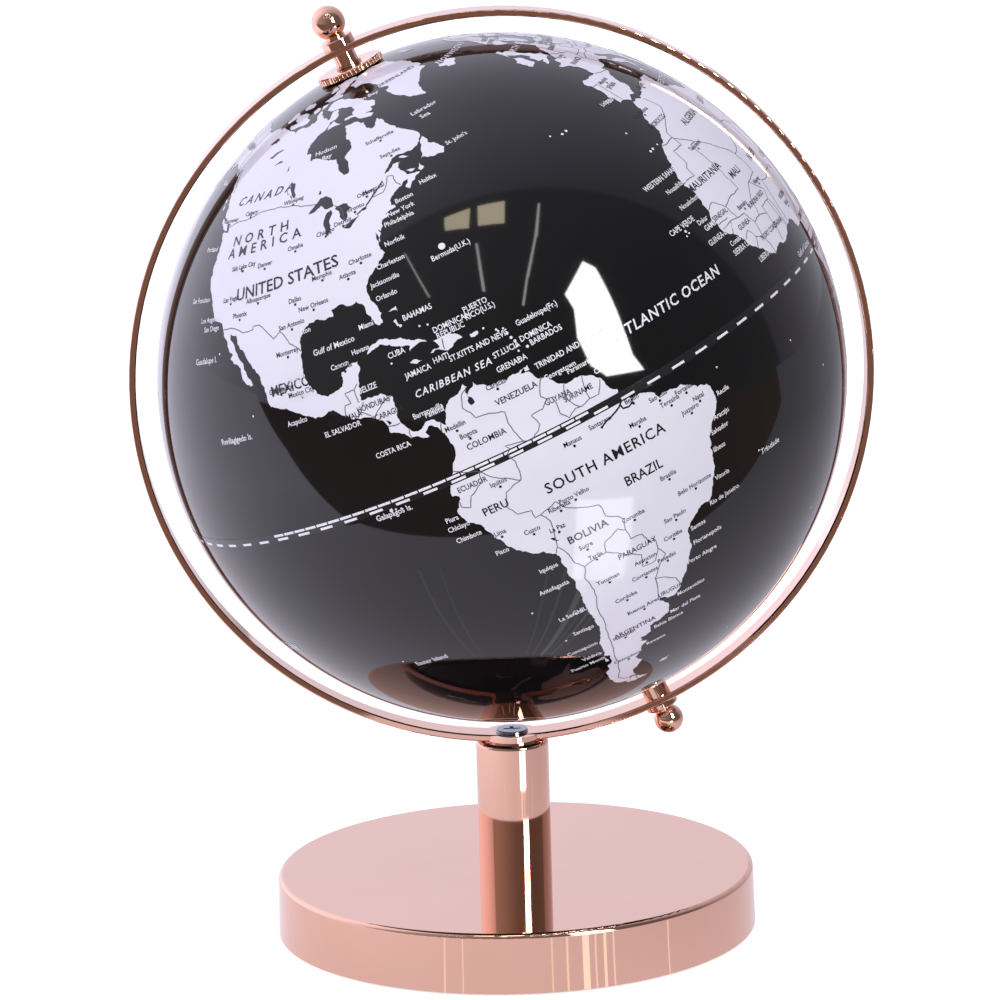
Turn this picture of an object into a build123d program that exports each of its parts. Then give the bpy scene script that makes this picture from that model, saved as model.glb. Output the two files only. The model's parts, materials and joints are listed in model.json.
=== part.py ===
from build123d import *
import math
import os

# Desktop globe on a stand.
# Millimetres, +Z up. The origin is the centre of the base's underside, on the axis of the post.
# The meridian ring stands in the XZ plane, and the globe's north pole leans towards -X.

# ---------------------------------------------------------------- driving dimensions

# Base: a pressed steel dish with a ballast plate inside and a foam pad under it.
BASE_RADIUS = 70.5
BASE_TOP_RADIUS = 70.1
BASE_HEIGHT = 18.0
BASE_EDGE_RADIUS = 1.4
BASE_WALL = 1.2
BASE_INNER_CORNER = 0.5
BASE_RIM_LIFT = 0.5
PAD_RADIUS = 68.6
PAD_THICKNESS = 1.2
COVER_RADIUS = 69.2
COVER_THICKNESS = 2.0
COVER_RIB_RADIUS = 52.0
COVER_RIB_THICKNESS = 2.0
COVER_HOLE_RADIUS = 9.0
BALLAST_RADIUS = 62.0
BALLAST_THICKNESS = 5.0
BOLT_RADIUS = 3.0
BOLT_CLEARANCE = 0.3
BOLT_HEAD_ACROSS_FLATS = 10.0
BOLT_HEAD_HEIGHT = 4.0
BOLT_THREAD_DEPTH = 10.0
WASHER_RADIUS = 8.0
WASHER_THICKNESS = 1.5

# Post: a tube with a plug pressed into each end.
POST_RADIUS = 10.7
POST_WALL = 1.5
POST_TOP_EDGE = 1.3
POST_LENGTH = 39.0
PLUG_LENGTH = 12.0
BOSS_RADIUS = 8.35
BOSS_HEIGHT = 2.0
SADDLE_SIDE_GAP = 0.1

# Meridian ring: a flat strip rolled on edge and welded shut.
RING_OUTER_RADIUS = 108.0
RING_THICKNESS = 2.0
RING_WIDTH = 9.0
RING_EDGE_RADIUS = 0.4
RING_SCREW_RADIUS = 2.5
RING_SCREW_HEAD_RADIUS = 4.75
RING_SCREW_HEAD_HEIGHT = 0.7
RING_SCREW_HEAD_EDGE = 0.35
RING_SCREW_LIFT = 0.12
RING_SCREW_LENGTH = 10.0
SCREW_RECESS_SPAN = 5.0
SCREW_SLOT_WIDTH = 1.1
SCREW_SLOT_DEPTH = 0.4

# Globe: two moulded half shells, each under its own printed map cover.
BALL_RADIUS = 100.0
MAP_COVER_THICKNESS = 0.3
SHELL_THICKNESS = 2.0
BAND_HALF_WIDTH = 6.0
BAND_THICKNESS = 1.6
AXIS_TILT_DEG = 24.0
BUSH_FLANGE_RADIUS = 6.4
BUSH_FLANGE_RISE = 0.45
BUSH_FLANGE_DEPTH = 3.0
BUSH_SLEEVE_RADIUS = 4.5
BUSH_SLEEVE_LENGTH = 9.0

# Polar axle and the pieces on it.
AXLE_RADIUS = 2.0
RUNNING_CLEARANCE = 0.05
END_CLEARANCE = 0.15
RING_HOLE_GAP = 0.12
THRUST_WASHER_RADIUS = 3.9
THRUST_WASHER_THICKNESS = 0.5
NORTH_SPACER_RADIUS = 3.4
SOUTH_SPACER_RADIUS = 3.9
DIAL_RADIUS = 9.9
DIAL_THICKNESS = 1.8
DIAL_RECESS_RADIUS = 7.4
DIAL_WEB = 1.15
DIAL_RIBS = 48
DIAL_RIB_DEPTH = 0.28
DIAL_EDGE = 0.35
COLLAR_RADIUS = 4.8
NORTH_COLLAR_HEIGHT = 2.4
SOUTH_COLLAR_HEIGHT = 1.8
COLLAR_EDGE = 0.5
NORTH_KNOB_RADIUS = 4.9
SOUTH_KNOB_RADIUS = 4.3
KNOB_NECK_RADIUS = 2.9
KNOB_NECK_HEIGHT = 0.9
KNOB_BORE_DEPTH = 3.5

# ---------------------------------------------------------------- derived levels

POST_TOP = BASE_HEIGHT + POST_LENGTH
BALL_CENTRE = POST_TOP + RING_OUTER_RADIUS
RING_INNER_RADIUS = RING_OUTER_RADIUS - RING_THICKNESS
RING_FLOOR = POST_TOP + RING_THICKNESS
TUBE_BORE = POST_RADIUS - POST_WALL
SHELL_OUTER_RADIUS = BALL_RADIUS - MAP_COVER_THICKNESS
SHELL_INNER_RADIUS = SHELL_OUTER_RADIUS - SHELL_THICKNESS
BASE_CEILING = BASE_HEIGHT - BASE_WALL
BALLAST_BOTTOM = BASE_CEILING - BALLAST_THICKNESS
WASHER_BOTTOM = BALLAST_BOTTOM - WASHER_THICKNESS
COVER_TOP = PAD_THICKNESS + COVER_THICKNESS
BUSH_TOP = BALL_RADIUS + BUSH_FLANGE_RISE
BUSH_BORE = AXLE_RADIUS + RUNNING_CLEARANCE
DIAL_CEILING = BUSH_TOP + END_CLEARANCE
DIAL_TOP = DIAL_CEILING + DIAL_WEB
NORTH_WASHER_START = DIAL_TOP + END_CLEARANCE
SOUTH_WASHER_START = BUSH_TOP + END_CLEARANCE
NORTH_COLLAR_TOP = RING_OUTER_RADIUS + NORTH_COLLAR_HEIGHT
SOUTH_COLLAR_TOP = RING_OUTER_RADIUS + SOUTH_COLLAR_HEIGHT


# ---------------------------------------------------------------- helpers

def disc(radius, low, high):
    """A solid cylinder on the Z axis between two heights."""
    return Pos(0, 0, low) * Cylinder(radius, high - low, align=(Align.CENTER, Align.CENTER, Align.MIN))


def tube(outer, inner, low, high):
    """A hollow cylinder on the Z axis between two heights."""
    return disc(outer, low, high) - disc(inner, low - 1, high + 1)


def ring_cylinder(radius, width):
    """A cylinder about the ring's own axis, which runs along Y through the ball's centre."""
    return Pos(0, 0, BALL_CENTRE) * Rotation(90, 0, 0) * Cylinder(radius, width)


def on_axis(piece, south=False):
    """Take a piece drawn along +Z from the ball's centre and lay it on the polar axis."""
    turned = Rotation(180, 0, 0) * piece if south else piece
    return Pos(0, 0, BALL_CENTRE) * Rotation(0, -AXIS_TILT_DEG, 0) * turned


def ring_bore(radius):
    """The same cylinder about the ring's axis, seen from the polar axis's own frame."""
    return Rotation(90, 0, 0) * Cylinder(radius, 4 * RING_WIDTH)


# ---------------------------------------------------------------- base

def base_shell():
    """Pressed dish: flat top, a small rolled edge and a slightly drafted wall."""
    low = BASE_RIM_LIFT
    shoulder = BASE_HEIGHT - BASE_EDGE_RADIUS
    bolt_hole = BOLT_RADIUS + BOLT_CLEARANCE
    rim = BASE_TOP_RADIUS
    ceiling_rim = rim - BASE_WALL - BASE_INNER_CORNER
    diagonal = BASE_EDGE_RADIUS * math.sqrt(0.5)
    edge_mid = (rim - BASE_EDGE_RADIUS + diagonal, 0, shoulder + diagonal)
    outline = [
        Line((bolt_hole, 0, BASE_CEILING), (bolt_hole, 0, BASE_HEIGHT)),
        Line((bolt_hole, 0, BASE_HEIGHT), (rim - BASE_EDGE_RADIUS, 0, BASE_HEIGHT)),
        ThreePointArc((rim - BASE_EDGE_RADIUS, 0, BASE_HEIGHT), edge_mid, (rim, 0, shoulder)),
        Line((rim, 0, shoulder), (BASE_RADIUS, 0, low)),
        Line((BASE_RADIUS, 0, low), (BASE_RADIUS - BASE_WALL, 0, low)),
        Line((BASE_RADIUS - BASE_WALL, 0, low), (rim - BASE_WALL, 0, BASE_CEILING - BASE_INNER_CORNER)),
        Line((rim - BASE_WALL, 0, BASE_CEILING - BASE_INNER_CORNER), (ceiling_rim, 0, BASE_CEILING)),
        Line((ceiling_rim, 0, BASE_CEILING), (bolt_hole, 0, BASE_CEILING)),
    ]
    return revolve(make_face(Wire(outline)), Axis.Z)


def base_pad():
    """Foam disc under the base, which stands on the table."""
    return disc(PAD_RADIUS, 0, PAD_THICKNESS)


def base_cover():
    """Moulded disc that closes the dish, with a rib that reaches up to the ballast."""
    plate = tube(COVER_RADIUS, COVER_HOLE_RADIUS, PAD_THICKNESS, COVER_TOP)
    rib = tube(COVER_RIB_RADIUS, COVER_RIB_RADIUS - COVER_RIB_THICKNESS, COVER_TOP, BALLAST_BOTTOM)
    return plate + rib


def base_ballast():
    """Steel plate that gives the stand its weight."""
    return tube(BALLAST_RADIUS, BOLT_RADIUS + BOLT_CLEARANCE, BALLAST_BOTTOM, BASE_CEILING)


def base_washer():
    return tube(WASHER_RADIUS, BOLT_RADIUS + BOLT_CLEARANCE, WASHER_BOTTOM, BALLAST_BOTTOM)


def base_bolt():
    """Hexagon-head bolt from below, through the ballast and the dish into the post."""
    head_low = WASHER_BOTTOM - BOLT_HEAD_HEIGHT
    hexagon = RegularPolygon(BOLT_HEAD_ACROSS_FLATS / 2, 6, major_radius=False)
    head = extrude(Pos(0, 0, head_low) * hexagon, BOLT_HEAD_HEIGHT)
    return head + disc(BOLT_RADIUS, WASHER_BOTTOM, BASE_HEIGHT + BOLT_THREAD_DEPTH)


# ---------------------------------------------------------------- post

def post_tube():
    """Tube that stands on the base, with its outer top edge rolled over."""
    body = disc(POST_RADIUS, BASE_HEIGHT, POST_TOP)
    body = fillet(body.edges().group_by(Axis.Z)[-1], POST_TOP_EDGE)
    return body - disc(TUBE_BORE, BASE_HEIGHT - 1, POST_TOP + 1)


def post_foot_plug():
    """Tapped plug in the foot of the tube, which the base bolt pulls down."""
    return tube(TUBE_BORE, BOLT_RADIUS, BASE_HEIGHT, BASE_HEIGHT + PLUG_LENGTH)


def post_head():
    """Tapped plug in the top of the tube, with a slotted boss that holds the ring's strip."""
    plug = disc(TUBE_BORE, POST_TOP - PLUG_LENGTH, POST_TOP)
    boss = disc(BOSS_RADIUS, POST_TOP, POST_TOP + BOSS_HEIGHT)
    seat = ring_cylinder(RING_OUTER_RADIUS, RING_WIDTH + 2 * SADDLE_SIDE_GAP)
    shank_end = RING_FLOOR + RING_SCREW_LIFT - RING_SCREW_LENGTH
    return plug + boss - seat - disc(RING_SCREW_RADIUS, shank_end, RING_FLOOR + 1)


def ring_screw():
    """Low-headed screw inside the ring, down into the top of the post, with a cross recess."""
    seat = RING_FLOOR + RING_SCREW_LIFT
    top = seat + RING_SCREW_HEAD_HEIGHT
    head = disc(RING_SCREW_HEAD_RADIUS, seat, top)
    head = fillet(head.edges().group_by(Axis.Z)[-1], RING_SCREW_HEAD_EDGE)
    slot = Pos(0, 0, top) * Box(SCREW_RECESS_SPAN, SCREW_SLOT_WIDTH, 2 * SCREW_SLOT_DEPTH)
    recess = slot + Rotation(0, 0, 90) * slot
    return head - recess + disc(RING_SCREW_RADIUS, seat - RING_SCREW_LENGTH, seat)


# ---------------------------------------------------------------- meridian ring

def meridian_ring():
    """Rolled strip with rounded edges, drilled for the axle and for the post's screw."""
    strip = ring_cylinder(RING_OUTER_RADIUS, RING_WIDTH) - ring_cylinder(RING_INNER_RADIUS, 2 * RING_WIDTH)
    strip = fillet(strip.edges().filter_by(GeomType.CIRCLE), RING_EDGE_RADIUS)
    axle_hole = on_axis(Cylinder(AXLE_RADIUS + RING_HOLE_GAP, 3 * RING_OUTER_RADIUS))
    screw_hole = disc(RING_SCREW_RADIUS + RING_HOLE_GAP, POST_TOP - 1, RING_FLOOR + 2)
    return strip - axle_hole - screw_hole


# ---------------------------------------------------------------- globe

def half_shell(outer, inner, hole):
    """Northern half of a hollow ball about its own centre, with a hole at the pole."""
    hollow_ball = Sphere(outer) - Sphere(inner)
    upper_half = disc(outer + 1, 0, outer + 1)
    return (hollow_ball & upper_half) - disc(hole, 0, outer + 1)


def plastic_shell(south):
    return on_axis(half_shell(SHELL_OUTER_RADIUS, SHELL_INNER_RADIUS, BUSH_SLEEVE_RADIUS), south)


def map_cover(south):
    return on_axis(half_shell(BALL_RADIUS, SHELL_OUTER_RADIUS, BUSH_SLEEVE_RADIUS), south)


def joining_band():
    """Ring inside the ball that both half shells are glued to."""
    slab = disc(BALL_RADIUS, -BAND_HALF_WIDTH, BAND_HALF_WIDTH)
    band = slab & Sphere(SHELL_INNER_RADIUS)
    bore = math.sqrt(SHELL_INNER_RADIUS ** 2 - BAND_HALF_WIDTH ** 2) - BAND_THICKNESS
    return on_axis(band - disc(bore, -BALL_RADIUS, BALL_RADIUS))


def pole_bush(south):
    """Flanged bush in a pole hole of the ball, which turns on the axle."""
    flange = disc(BUSH_FLANGE_RADIUS, BALL_RADIUS - BUSH_FLANGE_DEPTH, BUSH_TOP) - Sphere(BALL_RADIUS)
    sleeve = disc(BUSH_SLEEVE_RADIUS, BALL_RADIUS - BUSH_SLEEVE_LENGTH, BUSH_TOP)
    return on_axis(flange + sleeve - disc(BUSH_BORE, 0, 2 * BALL_RADIUS), south)


# ---------------------------------------------------------------- axle and its pieces

def axle_rod():
    """Steel rod from one knob to the other, right through the ball."""
    north_end = NORTH_COLLAR_TOP + KNOB_BORE_DEPTH
    south_end = SOUTH_COLLAR_TOP + KNOB_BORE_DEPTH
    return on_axis(disc(AXLE_RADIUS, -south_end, north_end))


def thrust_washer(start, south):
    ring = tube(THRUST_WASHER_RADIUS, BUSH_BORE, start, start + THRUST_WASHER_THICKNESS)
    return on_axis(ring, south)


def spacer(radius, start, south):
    """Sleeve between a thrust washer and the inside of the ring."""
    sleeve = tube(radius, AXLE_RADIUS, start, RING_OUTER_RADIUS)
    return on_axis(sleeve & ring_bore(RING_INNER_RADIUS), south)


def hour_dial():
    """Ribbed disc round the north pole, hollow underneath, that turns by hand on the axle."""
    low = DIAL_TOP - DIAL_THICKNESS
    body = disc(DIAL_RADIUS, low, DIAL_TOP)
    body = chamfer(body.edges().group_by(Axis.Z)[-1], DIAL_EDGE)
    body = body - disc(DIAL_RECESS_RADIUS, low - 1, DIAL_CEILING) - disc(BUSH_BORE, low, DIAL_TOP + 1)
    groove = Cylinder(DIAL_RIB_DEPTH, 4 * DIAL_THICKNESS)
    grooves = [
        Rotation(0, 0, 360 * rib / DIAL_RIBS) * Pos(DIAL_RADIUS, 0, DIAL_TOP) * groove
        for rib in range(DIAL_RIBS)
    ]
    return on_axis(body - grooves)


def finial_collar(height, south):
    """Round nut that clamps the ring from outside."""
    top = RING_OUTER_RADIUS + height
    nut = disc(COLLAR_RADIUS, RING_INNER_RADIUS, top)
    nut = fillet(nut.edges().group_by(Axis.Z)[-1], COLLAR_EDGE)
    nut = nut - ring_bore(RING_OUTER_RADIUS) - disc(AXLE_RADIUS, RING_INNER_RADIUS - 1, top + 1)
    return on_axis(nut, south)


def finial_knob(radius, start, south):
    """Ball-shaped cap nut on the end of the axle."""
    neck_top = start + KNOB_NECK_HEIGHT
    rise = math.sqrt(radius ** 2 - KNOB_NECK_RADIUS ** 2)
    ball = Pos(0, 0, neck_top + rise) * Sphere(radius)
    neck = disc(KNOB_NECK_RADIUS, start, neck_top + 1)
    return on_axis(ball + neck - disc(AXLE_RADIUS, start - 1, start + KNOB_BORE_DEPTH), south)


# ---------------------------------------------------------------- assembly

NODES = {
    "base_pad": base_pad(),
    "base_cover": base_cover(),
    "base_ballast": base_ballast(),
    "base_washer": base_washer(),
    "base_bolt": base_bolt(),
    "base_shell": base_shell(),
    "post_foot_plug": post_foot_plug(),
    "post_tube": post_tube(),
    "post_head": post_head(),
    "ring_screw": ring_screw(),
    "meridian_ring": meridian_ring(),
    "axle_rod": axle_rod(),
    "north_collar": finial_collar(NORTH_COLLAR_HEIGHT, False),
    "north_knob": finial_knob(NORTH_KNOB_RADIUS, NORTH_COLLAR_TOP, False),
    "north_spacer": spacer(NORTH_SPACER_RADIUS, NORTH_WASHER_START + THRUST_WASHER_THICKNESS, False),
    "north_thrust_washer": thrust_washer(NORTH_WASHER_START, False),
    "south_collar": finial_collar(SOUTH_COLLAR_HEIGHT, True),
    "south_knob": finial_knob(SOUTH_KNOB_RADIUS, SOUTH_COLLAR_TOP, True),
    "south_spacer": spacer(SOUTH_SPACER_RADIUS, SOUTH_WASHER_START + THRUST_WASHER_THICKNESS, True),
    "south_thrust_washer": thrust_washer(SOUTH_WASHER_START, True),
    "hour_dial": hour_dial(),
    "north_shell": plastic_shell(False),
    "south_shell": plastic_shell(True),
    "north_map_cover": map_cover(False),
    "south_map_cover": map_cover(True),
    "joining_band": joining_band(),
    "north_bush": pole_bush(False),
    "south_bush": pole_bush(True),
}

os.makedirs("parts", exist_ok=True)
for name, piece in NODES.items():
    solids = piece.solids()
    export_step(solids[0] if len(solids) == 1 else Compound(children=solids), f"parts/{name}.step")
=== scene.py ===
"""Looks for the desktop globe on its stand: printed map, rose-gold stand, studio light and camera."""
import json
import math
import random

import bpy
from mathutils import Matrix, Vector
from mathutils.geometry import delaunay_2d_cdt


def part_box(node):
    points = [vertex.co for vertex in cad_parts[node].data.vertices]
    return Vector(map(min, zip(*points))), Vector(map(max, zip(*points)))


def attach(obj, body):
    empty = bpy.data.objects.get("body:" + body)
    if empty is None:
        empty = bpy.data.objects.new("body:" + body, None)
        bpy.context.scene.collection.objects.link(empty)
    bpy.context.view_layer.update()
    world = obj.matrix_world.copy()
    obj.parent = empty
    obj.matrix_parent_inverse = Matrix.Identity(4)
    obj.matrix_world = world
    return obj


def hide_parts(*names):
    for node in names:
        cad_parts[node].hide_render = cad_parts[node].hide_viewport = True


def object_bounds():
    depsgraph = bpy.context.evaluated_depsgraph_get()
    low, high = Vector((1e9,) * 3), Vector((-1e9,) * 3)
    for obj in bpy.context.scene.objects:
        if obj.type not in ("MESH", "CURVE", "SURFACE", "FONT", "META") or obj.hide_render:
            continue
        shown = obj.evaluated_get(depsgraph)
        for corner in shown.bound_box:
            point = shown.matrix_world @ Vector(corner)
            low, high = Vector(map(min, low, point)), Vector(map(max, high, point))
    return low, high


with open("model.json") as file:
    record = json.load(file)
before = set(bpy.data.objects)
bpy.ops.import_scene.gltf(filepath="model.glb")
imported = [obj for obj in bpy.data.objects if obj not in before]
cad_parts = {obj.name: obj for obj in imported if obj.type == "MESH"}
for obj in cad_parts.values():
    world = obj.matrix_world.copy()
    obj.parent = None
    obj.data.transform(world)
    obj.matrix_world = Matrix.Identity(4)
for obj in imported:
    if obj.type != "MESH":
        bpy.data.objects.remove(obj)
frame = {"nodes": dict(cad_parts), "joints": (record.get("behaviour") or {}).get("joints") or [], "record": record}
cad_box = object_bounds()
record = frame["record"]
scene = bpy.context.scene
MM = 0.001

# ---------------------------------------------------------------- places read from the frame

SPIN = next(j for j in frame["joints"] if j["name"] == "globe_spin")
BALL_CENTRE = Vector(SPIN["pos_m"])
AXIS = Vector(SPIN["axis"]).normalized()
TILT = math.atan2(-AXIS.x, AXIS.z)
BALL_RADIUS = round(BALL_CENTRE.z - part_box("south_map_cover")[0].z, 4)
AXIS_FRAME = Matrix.Translation(BALL_CENTRE) @ Matrix.Rotation(-TILT, 4, "Y")

# The map is turned so that this meridian faces the front.
FRONT_MERIDIAN_DEG = -67.3


# ---------------------------------------------------------------- camera

CAMERA_AZIMUTH_DEG = -3.2
CAMERA_ELEVATION_DEG = 11.4
CAMERA_DISTANCE = 1.65
AIM_YAW_DEG = 0.056
AIM_PITCH_DEG = 1.23
CAMERA_ROLL_DEG = -1.62
CAMERA_LENS_MM = 204.8


def direction(azimuth_deg, elevation_deg):
    """Unit vector from the object towards a viewer; azimuth 0 is the front, -Y."""
    a = math.radians(azimuth_deg)
    e = math.radians(elevation_deg)
    return Vector((math.sin(a) * math.cos(e), -math.cos(a) * math.cos(e), math.sin(e)))


def make_camera():
    data = bpy.data.cameras.new("camera")
    data.lens = CAMERA_LENS_MM
    data.sensor_width = 36
    data.clip_start = 0.01
    data.clip_end = 60
    camera = bpy.data.objects.new("camera", data)
    scene.collection.objects.link(camera)
    back = direction(CAMERA_AZIMUTH_DEG + AIM_YAW_DEG, CAMERA_ELEVATION_DEG + AIM_PITCH_DEG)
    level = Vector((0, 0, 1)).cross(back).normalized()
    up = back.cross(level)
    roll = math.radians(CAMERA_ROLL_DEG)
    right = level * math.cos(roll) + up * math.sin(roll)
    up = up * math.cos(roll) - level * math.sin(roll)
    place = BALL_CENTRE + direction(CAMERA_AZIMUTH_DEG, CAMERA_ELEVATION_DEG) * CAMERA_DISTANCE
    turn = Matrix((right, up, back)).transposed().to_4x4()
    camera.matrix_world = Matrix.Translation(place) @ turn
    scene.camera = camera


make_camera()

# ---------------------------------------------------------------- the map

# Outlines, as pairs of longitude and latitude in degrees.

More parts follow.
